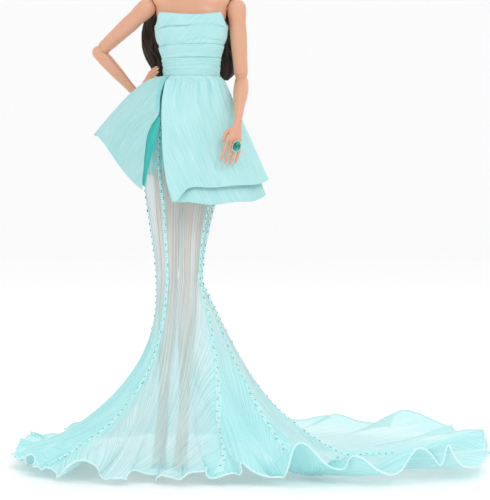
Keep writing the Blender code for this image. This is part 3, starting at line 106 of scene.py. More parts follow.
# Gown
BODICE_EASE = 0.5 * MM
BODICE_WALL = 0.6 * MM
BAND_FLARE = 1.1 * MM
NECKLINE_DIP = 6.8 * MM
PEPLUM_TOP_HEIGHT = 204.7 * MM
PEPLUM_WAIST_WIDTH = 15.8 * MM
PEPLUM_WAIST_DEPTH = 12.7 * MM
PEPLUM_REACH = 35.0 * MM
PEPLUM_DROP = 62.0 * MM
PEPLUM_FOLD = 1.5 * MM
LAYER_SPACING = 1.7 * MM
PEPLUM_WALL = 0.8 * MM
SKIRT_TOP_HEIGHT = 203.4 * MM
SKIRT_HALF_WIDTH = 19.8 * MM
SKIRT_HALF_DEPTH = 13.6 * MM
LINING_BOTTOM_HEIGHT = 156.0 * MM
TRAIN_REACH = 160.0 * MM
FLARE_REACH = 74.0 * MM
HEM_REST = 1.6 * MM
FOLD_DEPTH = 3.4 * MM
RUFFLE_HEIGHT = 4.2 * MM
RUFFLE_SPACING = 16.7 * MM
FLARE_POWER = 2.1
BACK_FULLNESS_SHARE = 0.36
SKIRT_KNEE_SHARE = 0.42

# Shares of the sizes above, by height or travel or angle, as in the frame
CHEST_SHARES = [
    (0.00, 0.70, 0.80), (0.14, 0.71, 0.80), (0.30, 0.80, 0.92), (0.44, 0.89, 1.07), (0.52, 0.92, 1.04),
    (0.58, 0.98, 0.90), (0.64, 1.00, 0.76), (0.72, 1.00, 0.66), (0.77, 0.86, 0.60), (0.83, 0.48, 0.54),
    (0.90, 0.31, 0.49), (1.00, 0.285, 0.46),
]
ARM_SHARES = [(0.0, 1.00), (0.12, 1.04), (0.35, 1.00), (0.70, 0.92), (1.0, 0.84)]
FOREARM_SHARES = [(0.0, 1.00), (0.2, 1.06), (0.45, 0.95), (0.75, 0.72), (1.0, 0.58)]
THIGH_SHARES = [(0.0, 1.00), (0.25, 1.00), (0.5, 0.90), (0.75, 0.74), (1.0, 0.62)]
SHIN_SHARES = [
    (0.00, 0.92, 0.92), (0.18, 0.96, 1.02), (0.34, 0.94, 1.08), (0.55, 0.76, 0.86), (0.80, 0.54, 0.58),
    (1.00, 0.52, 0.62),
]
FINGER_LENGTH_SHARES = [0.86, 0.98, 1.00, 0.93]
FINGER_PLACE_SHARES = [-0.42, -0.14, 0.14, 0.42]
SKIRT_CENTRE_SHARES = [
    (0.00, 1.00), (0.12, 0.86), (0.26, 0.66), (0.36, 0.50), (0.54, 0.24), (0.72, 0.10), (0.90, 0.02), (1.00, 0.00),
]
SKIRT_SECTION_SHARES = [
    (0.00, 0.73, 0.79), (0.12, 0.87, 0.90), (0.26, 0.975, 1.00), (0.36, 1.00, 1.00), (0.54, 0.975, 0.98),
    (0.72, 0.80, 0.93), (0.90, 0.64, 0.88), (1.00, 0.60, 0.87),
]
HEM_SHARES = [
    (-180, 0.80), (-160, 0.76), (-140, 0.70), (-120, 0.64), (-100, 0.56), (-80, 0.53), (-60, 0.50), (-45, 0.50),
    (-25, 0.42), (0, 0.40), (20, 0.45), (40, 0.56), (60, 0.82), (75, 0.98), (90, 1.02), (105, 1.06),
    (120, 1.12), (140, 1.02), (160, 0.90), (180, 0.80),
]
FLARE_SHARES = [(-180, 1.10), (-90, 1.00), (-45, 0.90), (0, 0.80), (45, 0.90), (90, 1.00), (180, 1.10)]
PEPLUM_SHARES = [
    (-180, 0.66, 0.84, 1.00), (-150, 0.60, 0.84, 1.10), (-120, 0.56, 0.78, 1.34), (-100, 0.68, 0.64, 1.64),
    (-86, 0.84, 0.52, 1.80), (-76, 0.98, 0.49, 0.95), (-66, 1.02, 0.50, 0.56), (-52, 0.88, 0.76, 0.62),
    (-35, 0.74, 0.95, 0.80),
    (-15, 0.52, 1.05, 0.85), (0, 0.46, 1.06, 0.85), (40, 0.61, 1.06, 0.90), (72, 0.78, 1.02, 0.94),
    (100, 0.71, 0.96, 0.97), (140, 0.68, 0.88, 0.95), (180, 0.66, 0.84, 1.00),
]
# Angles of the slit's two edges, and of the free edge of the deep mint sheet of painted shade inside it, by travel down
# the peplum
SLIT_RIGHT_DEGREES = [
    (0.0, -44.5), (0.20, -38.9), (0.36, -34.4), (0.47, -31.4), (0.62, -28.2), (0.74, -25.3), (0.86, -22.1),
    (0.94, -19.3), (1.0, -16.5),
]
SLIT_LEFT_DEGREES = [
    (0.0, -44.9), (0.20, -39.4), (0.355, -35.4), (0.44, -38.2), (0.51, -39.3), (0.61, -39.0), (0.67, -38.1),
    (0.76, -37.1), (0.82, -36.2), (0.92, -35.3), (1.0, -34.0),
]
SHADE_SHEET_DEGREES = [
    (0.36, -35.0), (0.43, -34.3), (0.55, -33.6), (0.65, -34.2), (0.72, -34.7), (0.83, -34.8), (0.97, -34.6),
]
GORE_SEAM_DEGREES = {
    "front": (-30, -60), "side_front": (62, 18), "godet": (76, 52), "side_back": (112, 100),
    "centre_back": (180, 160), "left_back": (265, 235),
}


def smooth(table, at):
    """Cubic curve through a table's rows; the first column is the place, the rest are values."""
    rows = np.asarray(table, dtype=float)
    places, values = rows[:, 0], rows[:, 1:]
    slopes = np.gradient(values, places, axis=0)
    at = np.clip(np.asarray(at, dtype=float), places[0], places[-1])
    low = np.clip(np.searchsorted(places, at, side="right") - 1, 0, len(places) - 2)
    width = places[low + 1] - places[low]
    t = ((at - places[low]) / width)[..., None]
    width = width[..., None]
    return (
        values[low] * (1 + 2 * t) * (1 - t) ** 2
        + slopes[low] * width * t * (1 - t) ** 2
        + values[low + 1] * t ** 2 * (3 - 2 * t)
        + slopes[low + 1] * width * t ** 2 * (t - 1)
    )


def unit(vectors):
    vectors = np.asarray(vectors, dtype=float)
    return vectors / np.maximum(np.linalg.norm(vectors, axis=-1, keepdims=True), 1e-12)


def ease(value):
    """0 below 0, 1 above 1, and an S curve between."""
    value = np.clip(value, 0, 1)
    return value * value * (3 - 2 * value)


def bump(value, centre, width):
    """A bell of height 1 at its centre."""
    return np.exp(-((value - centre) / width) ** 2)


def wander(*phases):
    """A smooth wavering between about -1 and 1: the sines of the phases, added, each weaker than the last."""
    total = 0
    for order, phase in enumerate(phases):
        total = total + np.sin(phase + 1.7 * order) / (1 + 0.5 * order)
    return total / (1 + 0.6 * (len(phases) - 1))


class Form:
    """Points, faces and the UV of every face corner, gathered from grids, then made into one piece."""

    def __init__(self):
        self.points, self.faces, self.corners, self.count = [], [], [], 0

    def grid(self, points, wraps=False, flip=False, uv=None):
        """Add a grid whose faces look outward where rows run down and columns run leftward round the doll.

        wraps joins the last column to the first. uv gives the grid's width and length in metres, or the place of
        each of its points on the flat cloth.
        """
        rows, columns = points.shape[:2]
        last = columns if wraps else columns - 1
        row, column = np.meshgrid(np.arange(rows - 1), np.arange(last), indexing="ij")
        after = (column + 1) % columns
        quads = np.stack([row * columns + column, (row + 1) * columns + column,
                          (row + 1) * columns + after, row * columns + after], axis=-1).reshape(-1, 4)
        if isinstance(uv, np.ndarray):
            corners = uv.reshape(-1, 2)[quads]
        else:
            width, length = uv or (1.0, 1.0)
            u = np.stack([column, column, column + 1, column + 1], axis=-1).reshape(-1, 4) / last * width
            v = np.stack([row, row + 1, row + 1, row], axis=-1).reshape(-1, 4) / (rows - 1) * length
            corners = np.stack([u, v], axis=-1)
        if flip:
            quads, corners = quads[:, ::-1], corners[:, ::-1]
        self.add(points.reshape(-1, 3), quads, corners)
        return self

    def add(self, points, faces, corners=None, start=None):
        """Add points and faces of one kind; the faces count from start, or from the first new point."""
        faces = np.asarray(faces) + (self.count if start is None else start)
        if corners is None:
            corners = np.zeros(faces.shape + (2,))
        self.points.append(np.asarray(points, dtype=float))
        self.faces.extend(faces.tolist())
        self.corners.append(corners.reshape(-1, 2))
        self.count += len(points)
        return self

    def fan(self, ring, start, turned):
        """Close a ring of points that is already there with triangles to its middle."""
        around = start + np.arange(len(ring))
        fan = np.stack([around, np.roll(around, -1), np.full(len(ring), self.count)], axis=-1)
        return self.add(ring.mean(axis=0)[None, :], fan[:, ::-1] if turned else fan, start=0)

    def tube(self, rings, uv=None):
        """Add rings of points as a closed tube, each end closed by a fan to its middle."""
        first, sides = self.count, rings.shape[1]
        self.grid(rings, wraps=True, flip=True, uv=uv)
        last = self.count - sides
        self.fan(rings[0], first, True)
        return self.fan(rings[-1], last, False)

    def cloth(self, outer, inner, wraps=False, uv=None, crown=False):
        """Add a thin closed sheet: an outer and an inner grid, joined along their edges.

        crown closes the top of each grid with a fan instead of joining the two there.
        """
        rows, columns = outer.shape[:2]
        first, half = self.count, rows * columns
        self.grid(outer, wraps=wraps, uv=uv)
        self.grid(inner, wraps=wraps, flip=True, uv=uv)
        index = first + np.arange(half).reshape(rows, columns)
        if wraps:
            index = np.concatenate([index, index[:, :1]], axis=1)
        edges = [index[-1]] if crown else [index[0][::-1], index[-1]]
        if not wraps:
            edges += [index[:, 0], index[:, -1][::-1]]
        for edge in edges:
            rim = np.stack([edge[:-1], edge[:-1] + half, edge[1:] + half, edge[1:]], axis=-1)
            self.add(np.zeros((0, 3)), rim, start=0)
        if crown:
            self.fan(outer[0], first, False)
            self.fan(inner[0], first + half, True)
        return self

    def make(self, name, finish, body, slot, replaces=(), smooth_angle=0.8, tints=None, closed=True):
        """Put the form into a mesh whose faces look outward, and the mesh on its body."""
        mesh = bpy.data.meshes.new(name)
        points = np.concatenate(self.points)
        mesh.from_pydata(points.tolist(), [], self.faces)
        layer = mesh.uv_layers.new(name="UVMap")
        layer.data.foreach_set("uv", np.concatenate(self.corners).ravel().astype(np.float32))
        if tints is not None:
            attribute = mesh.attributes.new("tint", "FLOAT", "POINT")
            attribute.data.foreach_set("value", np.asarray(tints, dtype=np.float32).ravel())
        if closed:
            work = bmesh.new()
            work.from_mesh(mesh)
            bmesh.ops.recalc_face_normals(work, faces=work.faces)
            work.to_mesh(mesh)
            work.free()
        mesh.materials.append(finish)
        mesh.shade_smooth()
        mesh.set_sharp_from_angle(angle=smooth_angle)
        made = bpy.data.objects.new(name, mesh)
        bpy.context.scene.collection.objects.link(made)
        if body:
            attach(made, body)
        if replaces:
            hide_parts(*replaces)
        return made


def spots(x, y, z):
    """Points from their coordinates, spread over one grid."""
    return np.stack(np.broadcast_arrays(x, y, z), axis=-1)


def round_turn(sides):
    """Angles of a ring's corners, half a side on from zero."""
    return (np.arange(sides) + 0.5) * (2 * math.pi / sides)


def across_and_deep(along, reference):
    """Unit vectors square to a direction: across is as near to the reference as it can be."""
    along = unit(along)
    across = unit(np.asarray(reference, dtype=float) - along * np.sum(along * reference, axis=-1, keepdims=True))
    return across, np.cross(along, across)


def path_rings(path, reference, wide, deep, sides):
    """Rings square to a path: at each point an ellipse of the two half sizes."""
    path = np.asarray(path, dtype=float)
    across, down = across_and_deep(unit(np.gradient(path, axis=0)), np.asarray(reference, dtype=float))
    turn = round_turn(sides)
    wide, deep = (np.broadcast_to(np.asarray(size, dtype=float), len(path))[:, None] for size in (wide, deep))
    return (path[:, None, :] + (wide * np.cos(turn))[..., None] * across[:, None, :]
            + (deep * np.sin(turn))[..., None] * down[:, None, :])


def line_rings(start, along, across, deep, stations, turn, push=1):
    """Rings square to a line: each station gives its travel and two half sizes, and push swells the skin."""
    return (start + stations[:, :1, None] * along + (stations[:, 1:2] * np.cos(turn) * push)[..., None] * across
            + (stations[:, 2:3] * np.sin(turn) * push)[..., None] * deep)


def lay_flat(points, even=False):
    """The place of each point on the flat cloth: its distance along its row from the middle, and down its column.

    even spaces each row evenly over a length that changes smoothly from row to row, so the grain runs on into a frill.
    """
    steps = np.linalg.norm(np.diff(points, axis=1), axis=-1)
    across = np.concatenate([np.zeros((len(points), 1)), np.cumsum(steps, axis=1)], axis=1)
    across = across - across[:, -1:] / 2
    drops = np.linalg.norm(np.diff(points, axis=0), axis=-1).mean(axis=1)
    down = np.concatenate([[0], np.cumsum(drops)])[:, None] + 0 * across
    if even:
        lengths = np.polyval(np.polyfit(down[:, 0], across[:, -1] - across[:, 0], 3), down[:, 0])
        across = lengths[:, None] * np.linspace(-0.5, 0.5, across.shape[1])[None, :]
    return np.stack([across, down], axis=-1)


def sheet_walls(point, first, second, wall, floor=None):
    """A sheet's outer and inner grids: its middle surface moved half a wall each way along its normal."""
    step_angle, step_travel = 0.2, 0.004
    middle = point(first, second)
    along = point(first + step_angle, second) - point(first - step_angle, second)
    down = point(first, second + step_travel) - point(first, second - step_travel)
    normal = unit(np.cross(along, down))
    outer, inner = middle - normal * wall / 2, middle + normal * wall / 2
    if floor is not None:
        outer[..., 2] = np.maximum(outer[..., 2], floor)
        inner[..., 2] = np.maximum(inner[..., 2], floor)
    return outer, inner


def operator(name, swapped=False):
    """A method of Value that adds the Math node of that name; swapped puts its own value last."""
    def work_out(self, *others):
        made = self.finish.node("Math", {"operation": name})
        for place, value in enumerate((*others, self) if swapped else (self, *others)):
            self.finish.feed(made.inputs[place], value)
        return Value(self.finish, made.outputs[0])

    return work_out


class Value:
    """A shader socket in an expression: each operator adds the Math node that works it out."""

    def __init__(self, finish, socket):
        self.finish, self.socket = finish, socket

    __add__ = __radd__ = operator("ADD")
    __mul__ = __rmul__ = operator("MULTIPLY")
    __sub__, __rsub__, __truediv__ = operator("SUBTRACT"), operator("SUBTRACT", True), operator("DIVIDE")
    sine, size, root = operator("SINE"), operator("ABSOLUTE"), operator("SQRT")
    most, least = operator("MAXIMUM"), operator("MINIMUM")

    def ramp(self, low, high):
        """0 at low, 1 at high, and an S curve between."""
        made = self.finish.node("MapRange", {"interpolation_type": "SMOOTHSTEP"})
        self.finish.feed(made.inputs[0], self)
        made.inputs[1].default_value, made.inputs[2].default_value = low, high
        return Value(self.finish, made.outputs[0])


class Finish:
    """One material: a Principled shader, the plain values of its sockets, and the nodes that feed the rest."""

    def __init__(self, name, colour, roughness, **plain):
        self.material = bpy.data.materials.new(name)
        self.material.use_nodes = True
        self.tree = self.material.node_tree
        self.shader = self.tree.nodes["Principled BSDF"]
        self.set(Base_Color=(*colour, 1.0), Roughness=roughness, **plain)

    def set(self, **values):
        """Give the shader's sockets values or links by name, and hand back the material."""
        for key, value in values.items():
            self.feed(self.shader.inputs[key.replace("_", " ")], value)
        return self.material

    def feed(self, socket, value):
        if isinstance(value, Value):
            value = value.socket
        if isinstance(value, bpy.types.NodeSocket):
            self.tree.links.new(value, socket)
        else:
            socket.default_value = value

    def node(self, kind, settings=None, **values):
        """Add a node of a kind, with its settings first, and then values or links for its sockets by name."""
        made = self.tree.nodes.new("ShaderNode" + kind)
        for key, value in (settings or {}).items():
            setattr(made, key, value)
        for key, value in values.items():
            self.feed(made.inputs[key], value)
        return made

    def value(self, node, output=0):
        return Value(self, node.outputs[output])

    def place(self, source, scale=(1, 1, 1), turn=0.0):
        """Coordinates of the surface, Object or UV, turned about Z and then scaled."""
        moved = self.node("Mapping", {"vector_type": "TEXTURE"}, Vector=self.node("TexCoord").outputs[source],
                          Rotation=(0, 0, turn), Scale=tuple(1 / value for value in scale))
        return moved.outputs[0]

    def noise(self, place, size, detail):
        return self.value(self.node("TexNoise", None, Vector=place, Scale=size, Detail=detail))

    def grain(self, size, detail=2.0):
        """Cloudy noise of one size all over the piece."""
        return self.noise(self.place("Object"), size, detail)

    def weave(self, across, along, detail=2.0, turn=0.0):
        """Cloudy noise on the flat cloth, as fine across it and along it as it's told."""
        return self.noise(self.place("UV", (across, along, 1), turn), 1.0, detail)

    def coordinate(self, axis, source, scale=1):
        """One coordinate of the surface."""
        return self.value(self.node("SeparateXYZ", None, Vector=self.place(source, (scale,) * 3)), axis)

    def tint(self):
        """The tint that a form gives its points."""
        return self.value(self.node("Attribute", {"attribute_name": "tint"}), 2)

    def mix(self, share, first, second):
        made = self.node("Mix", {"data_type": "RGBA"}, Factor=share)
        for socket, value in ((made.inputs[6], first), (made.inputs[7], second)):
            self.feed(socket, (*value, 1.0) if isinstance(value, tuple) else value)
        return made.outputs[2]

    def raise_by(self, height, strength, distance):
        """Add relief from a height in 0 to 1, and hand back the material."""
        return self.set(Normal=self.node("Bump", None, Height=height, Strength=strength, Distance=distance).outputs[0])


SKIN = (0.735, 0.388, 0.252)
SKIN_WARM = (0.68, 0.303, 0.183)
SHEER_LIGHT = (0.80, 0.915, 0.93)
SHEER_DEEP = (0.40, 0.85, 0.865)
SOFT_VINYL = {"Subsurface_Weight": 0.06, "Subsurface_Radius": (0.9, 0.35, 0.2), "Subsurface_Scale": 0.0012}


def skin_finish(name="satin_vinyl"):
    """Satin vinyl: a warm tan with a faint blush that wanders, and an almost even sheen."""
    made = Finish(name, SKIN, 0.36, **SOFT_VINYL, Specular_IOR_Level=0.5, Coat_Weight=0.12, Coat_Roughness=0.22)
    blush = made.grain(95.0).ramp(0.35, 0.75)
    grain = made.grain(5200.0)
    made.set(Base_Color=made.mix(blush * 0.28, SKIN, SKIN_WARM), Roughness=0.30 + grain * 0.10)
    return made.raise_by(grain, 0.06, 0.00008)


def crinkle_height(made, turn=0.0, along=70.0):
    """Fine creases that run along the cloth, in two widths, and the weave's own threads."""
    fine = made.weave(2300, along, 3.0, turn)
    broad = made.weave(690, along * 0.5, 2.0, turn)
    thread = made.weave(5200, 5200, 1.0, turn)
    return fine * 0.55 + broad * 0.27 + thread * 0.18, fine, broad


def mint_finish(name="mint_crinkle", turn=0.0, strength=0.92):
    """Opaque mint crinkle: creases lengthwise, with a painted highlight on their crests and painted shade between them.

    The tint attribute is 1 on the side that faces the body, where painted shade makes the cloth deeper.
    """
    made = Finish(name, (0.56, 0.90, 0.90), 0.62, Sheen_Weight=0.25, Sheen_Roughness=0.45, Specular_IOR_Level=0.35)
    height, fine, broad = crinkle_height(made, turn)
    share = (fine * 0.62 + broad * 0.20 + made.weave(90, 60, 2.0, turn) * 0.18).ramp(0.32, 0.68)
    # Crests take a painted highlight and the hollows between them take painted shade; strength scales both tones.
    crest_light_and_crease_shade = [tuple(part * strength for part in tone) for tone in ((0.400, 0.790, 0.790), (0.57, 0.885, 0.90))]
    # The tint attribute mixes in deep teal as painted shade, on the side that faces the body and where a panel turns
    # under.
    colour = made.mix(made.tint() * 0.8, made.mix(share, *crest_light_and_crease_shade), (0.10, 0.62, 0.59))
    made.set(Base_Color=colour, Roughness=0.54 + fine * 0.16)
    return made.raise_by(height, 0.6, 0.0005)


def sheer_finish():
    """Sheer crinkle: a pale aqua net of creases; each crease is denser than the cloth between.

    The tint attribute deepens the cloth where it is gathered, towards the seams and in the flare; the flare's tint
    differs from gore to gore, lower on the side gore as painted light where light shines through the cloth.
    """
    clear, solid = 0.31, 0.63
    made = Finish("sheer_crinkle", SHEER_LIGHT, 0.6, Sheen_Weight=0.15, Sheen_Roughness=0.5, Specular_IOR_Level=0.3)
    height, fine, broad = crinkle_height(made, along=16.0)
    share = (fine * 0.88 + broad * 0.12).ramp(0.30, 0.70)
    cloud = made.weave(60, 30).ramp(0.3, 0.7)
    tint = made.tint()
    deep = (tint * 0.85 + (1 - share) * 0.15 - cloud * 0.12).most(0.0).least(1.0)
    made.set(Base_Color=made.mix(deep, SHEER_LIGHT, SHEER_DEEP), Roughness=0.52 + fine * 0.18,
             Alpha=(clear + share * (solid - clear) + tint * 0.36 + cloud * 0.06).least(0.97))
    return made.raise_by(height, 0.3, 0.0004)


def shade_sheet_finish():
    """A deep mint sheet inside the slit: painted shade for the left panel's shadowed inside, with the same crinkle."""
    made = Finish("painted_shade_slit_sheet", (0.03, 0.45, 0.42), 0.55, Sheen_Weight=0.2, Specular_IOR_Level=0.35)
    height, fine, broad = crinkle_height(made)
    share = (fine * 0.6 + broad * 0.4).ramp(0.34, 0.66)
    # Painted shade between the creases: the lighter tone on their crests, the deeper one between.
    made.set(Base_Color=made.mix(share, (0.022, 0.40, 0.37), (0.055, 0.52, 0.48)), Roughness=0.5 + fine * 0.16)
    return made.raise_by(height, 0.5, 0.0006)


def thread_rows(made, number):
    """Close rows along the cloth, as waves of its length."""
    return (made.coordinate(1, "UV") * number).sine() * 0.5 + 0.5


def hem_finish():
    """The rolled hem: pale mint thread, wound closely round the edge."""
    made = Finish("rolled_hem_thread", (0.50, 0.88, 0.85), 0.5, Sheen_Weight=0.2, Specular_IOR_Level=0.4)
    winding = thread_rows(made, 11000.0)
    cloud = made.weave(400, 90)
    made.set(Base_Color=made.mix(winding * 0.5 + cloud * 0.5, (0.50, 0.86, 0.86), (0.84, 0.98, 0.98)),
             Roughness=0.44 + cloud * 0.16)
    return made.raise_by(winding, 0.35, 0.0002)


def tape_finish():
    """Seam tape: deep aqua, with close rows of small stitches."""
    made = Finish("beaded_tape", (0.25, 0.74, 0.69), 0.45, Sheen_Weight=0.2, Specular_IOR_Level=0.5)
    speck = made.weave(2600, 2600)
    height = thread_rows(made, 5200.0) * 0.6 + speck * 0.4
    made.set(Base_Color=made.mix(height.ramp(0.3, 0.8), (0.40, 0.83, 0.82), (0.70, 0.95, 0.95)),
             Roughness=0.30 + speck * 0.3)
    return made.raise_by(height, 0.5, 0.0003)


def hair_finish():
    """Glossy dark brown fibre: fine streaks along each length."""
    made = Finish("dark_hair", (0.020, 0.011, 0.008), 0.30, Specular_IOR_Level=0.22, Coat_Weight=0.10,
                  Coat_Roughness=0.16)
    strand = made.weave(3400, 60, 3.0)
    height = strand * 0.7 + made.weave(500, 40) * 0.3
    made.set(Base_Color=made.mix(height.ramp(0.35, 0.72), (0.007, 0.004, 0.003), (0.070, 0.034, 0.020)),
             Roughness=0.24 + strand * 0.20)
    return made.raise_by(height, 0.7, 0.0005)


def lash_finish():
    made = Finish("lash_fibre", (0.012, 0.008, 0.007), 0.5)
    grain = made.grain(8000.0)
    return made.set(Base_Color=made.mix(grain, (0.008, 0.005, 0.004), (0.022, 0.014, 0.011)),
                    Roughness=0.42 + grain * 0.12)


def metal_finish():
    made = Finish("bright_silver", (0.83, 0.84, 0.85), 0.16, Metallic=1.0)
    scratch = made.grain(9000.0)
    made.set(Roughness=0.12 + scratch * 0.14)
    return made.raise_by(scratch, 0.08, 0.00005)


def stone_finish():
    """Deep green cabochon: clear gloss over a colour that lightens in soft clouds."""
    made = Finish("green_stone", (0.0, 0.30, 0.20), 0.05, Coat_Weight=0.25, Coat_Roughness=0.03,
                  Specular_IOR_Level=0.38)
    cloud = made.grain(330.0, 1.0).ramp(0.3, 0.75)
    made.set(Base_Color=made.mix(cloud, (0.0, 0.15, 0.105), (0.0, 0.52, 0.38)), Roughness=0.04 + cloud * 0.05)
    return made.raise_by(cloud, 0.05, 0.0001)


def crystal_finish():
    """Small cut crystals: pale aqua on top with painted white highlights on random facets, and darker at the setting,
    where the tint attribute falls to 0.
    """
    made = Finish("aqua_crystal", (0.75, 0.97, 0.96), 0.08, Specular_IOR_Level=0.8, Coat_Weight=0.5,
                  Coat_Roughness=0.04)
    facet_glint = made.grain(900.0, 1.0).ramp(0.40, 0.60)
    top = made.mix(facet_glint, (0.45, 0.86, 0.84), (1.0, 1.0, 1.0))
    return made.set(Base_Color=made.mix(made.tint().ramp(0.35, 0.80), (0.05, 0.30, 0.28), top),
                    Roughness=0.06 + facet_glint * 0.08)


def shoe_finish():
    made = Finish("shoe_gloss", (0.03, 0.05, 0.055), 0.2, Coat_Weight=0.5, Coat_Roughness=0.08)
    cloud = made.grain(380.0, 3.0)
    made.set(Base_Color=made.mix(cloud.ramp(0.3, 0.7), (0.02, 0.035, 0.04), (0.06, 0.09, 0.095)),
             Roughness=0.16 + cloud * 0.12)
    return made.raise_by(cloud, 0.08, 0.0001)


def floor_finish():
    """A near-white seamless paper, lit through from behind, with a faint gloss that wanders."""
    made = Finish("studio_floor", (0.92, 0.92, 0.92), 0.35, Specular_IOR_Level=0.35,
                  Emission_Color=(1.0, 1.0, 1.0, 1.0), Emission_Strength=0.09)
    cloud = made.grain(3.0)
    return made.set(Base_Color=made.mix(cloud, (0.955, 0.955, 0.955), (0.985, 0.985, 0.985)),
                    Roughness=0.28 + cloud * 0.16)


VINYL = skin_finish()
PEG_VINYL = skin_finish("peg_vinyl")
MINT = mint_finish()
MINT_BIAS = mint_finish("mint_crinkle_on_the_bias", 0.75)
# The left panel's copy is deeper, at 0.80 instead of 0.92: painted shade on the panel that faces away from the key
# light.
MINT_LEFT_PAINTED_SHADE = mint_finish("mint_crinkle_left_panel_painted_shade", -0.22, 0.80)
MINT_RIGHT = mint_finish("mint_crinkle_right_panel", 0.20)
MINT_ACROSS = mint_finish("mint_crinkle_across", 1.45)
MINT_PAINTED_SHADE_SHEET = shade_sheet_finish()
SHEER = sheer_finish()
HEM = hem_finish()
TAPE_FINISH = tape_finish()
HAIR = hair_finish()
LASH = lash_finish()
SILVER = metal_finish()
STONE = stone_finish()
CRYSTAL = crystal_finish()
SHOE = shoe_finish()
FLOOR = floor_finish()


# The end of a limb, turned in under the ball below it: metres back from the rim, and share of its size
LIMB_END = [(0.00035, 0.995), (0.00008, 0.96), (0.0, 0.88), (0.0003, 0.70), (0.0009, 0.4)]
NAMES = {-1: "right", 1: "left"}


def dome(radius, count):
    """Stations of a round end, from its tip to its full radius: travel, half width, half depth."""
    turns = np.linspace(0.06, 1.0, count) * (math.pi / 2)
    return np.stack([-radius * np.cos(turns), radius * np.sin(turns), radius * np.sin(turns)], axis=1)


def side_values(side):
    """Pivots of one arm from the shoulder down, the way the hand reaches, and the way its back looks."""
    shoulder = np.array([BODY_X + side * SHOULDER_HALF_SPAN, BODY_Y, SHOULDER_HEIGHT])
    if side < 0:
        elbow = shoulder + np.array([-25.9, 13.5, -22.1]) * MM
        wrist = elbow + np.array([20.8, 0.5, -23.0]) * MM
        reach, back = unit([0.42, -0.70, 0.58]), np.array([-0.90, -0.30, 0.32])
    else:
        elbow = shoulder + np.array([2.6, 1.5, -38.4]) * MM
        wrist = elbow + np.array([-1.7, -25.0, -21.0]) * MM
        reach, back = unit([-0.20, -0.22, -0.95]), np.array([0.42, -0.90, 0.10])
    return shoulder, elbow, wrist, reach, back


def limb(body, start, end, top_radius, body_radius, shares, stop, reference, shape=None):
    """A limb piece: a ball at its own pivot, a body whose radius follows its shares, and a hollowed end.

    shape(travel, turn) may push the skin out or in by a share of the radius.
    """
    length = np.linalg.norm(end - start) - stop
    along = unit(end - start)
    across, deep = across_and_deep(along, reference)
    turn = round_turn(40)
    travel = np.linspace(0.10, 1.0, 34)
    values = smooth(shares, travel) * body_radius
    join = ease((travel * length - top_radius * 0.2) / (top_radius * 1.4))
    wide, thick = (top_radius + (values[:, column] - top_radius) * join for column in (0, -1))
    stations = np.concatenate([dome(top_radius, 12), np.stack([travel * length, wide, thick], axis=1)])
    rim = stations[-1]
    stations = np.concatenate([stations[:-1], [(rim[0] - back, rim[1] * share, rim[2] * share)
                                               for back, share in LIMB_END]])
    push = 1 + (shape(stations[:, :1] / length, turn[None, :]) if shape else 0)
    rings = line_rings(start, along, across, deep, stations, turn, push)
    return Form().tube(rings).make(body + "_skin", VINYL, body, "skin_vinyl", [body])


def palm_axes(reach, back):
    normal = unit(back - reach * np.dot(back, reach))
    return normal, unit(np.cross(reach, normal))


def finger_joints(wrist, reach, back, number):
    """Base, middle and tip of one finger."""
    normal, across = palm_axes(reach, back)
    length = (HAND_LENGTH - PALM_LENGTH) * FINGER_LENGTH_SHARES[number]
    place = PALM_WIDTH * FINGER_PLACE_SHARES[number]
    base = wrist + reach * PALM_LENGTH * 0.80 + across * place
    middle = base + reach * length * 0.62 + across * place * 0.30
    return base, middle, middle + unit(reach - normal * 0.30) * length * 0.55


def finger(form, joints, normal, radius):
    """A tapered finger through three joints: slightly full at each knuckle, with a round tip and a nail."""
    sides = 16
    base, middle, tip = joints
    share = np.unique(np.clip(np.concatenate([np.linspace(0, 1.72, 20), 2 - 0.28 * np.cos(np.linspace(0.15, 1.5, 7))]),
                              0, 2))
    first, second = np.clip(share, 0, 1)[:, None], np.clip(share - 1, 0, 1)[:, None]
    path = base + (middle - base) * first + (tip - middle) * second
    knuckle = 0.07 * bump(share, 0.95, 0.16) + 0.04 * bump(share, 1.55, 0.10)
    round_off = np.sqrt(np.clip(1 - (np.maximum(share - 1.66, 0) / 0.345) ** 2, 0.01, 1))
    size = radius * (1.0 - 0.13 * share + knuckle) * round_off
    rings = path_rings(path, normal, size, size * 1.02, sides)
    nail = bump(share, 1.80, 0.13)[:, None] * np.clip(np.cos(round_turn(sides)) - 0.35, 0, 1)[None, :]
    form.tube(rings + (nail * radius * 0.16)[..., None] * normal)


# Palm: travel as a share of the palm's length, and half width and half thickness as shares of the palm's
PALM_ROWS = [(0.34, 0.74, 1.12), (0.52, 0.90, 1.06), (0.75, 1.0, 1.0), (0.93, 0.99, 0.86), (1.03, 0.88, 0.60),
             (1.08, 0.55, 0.32)]


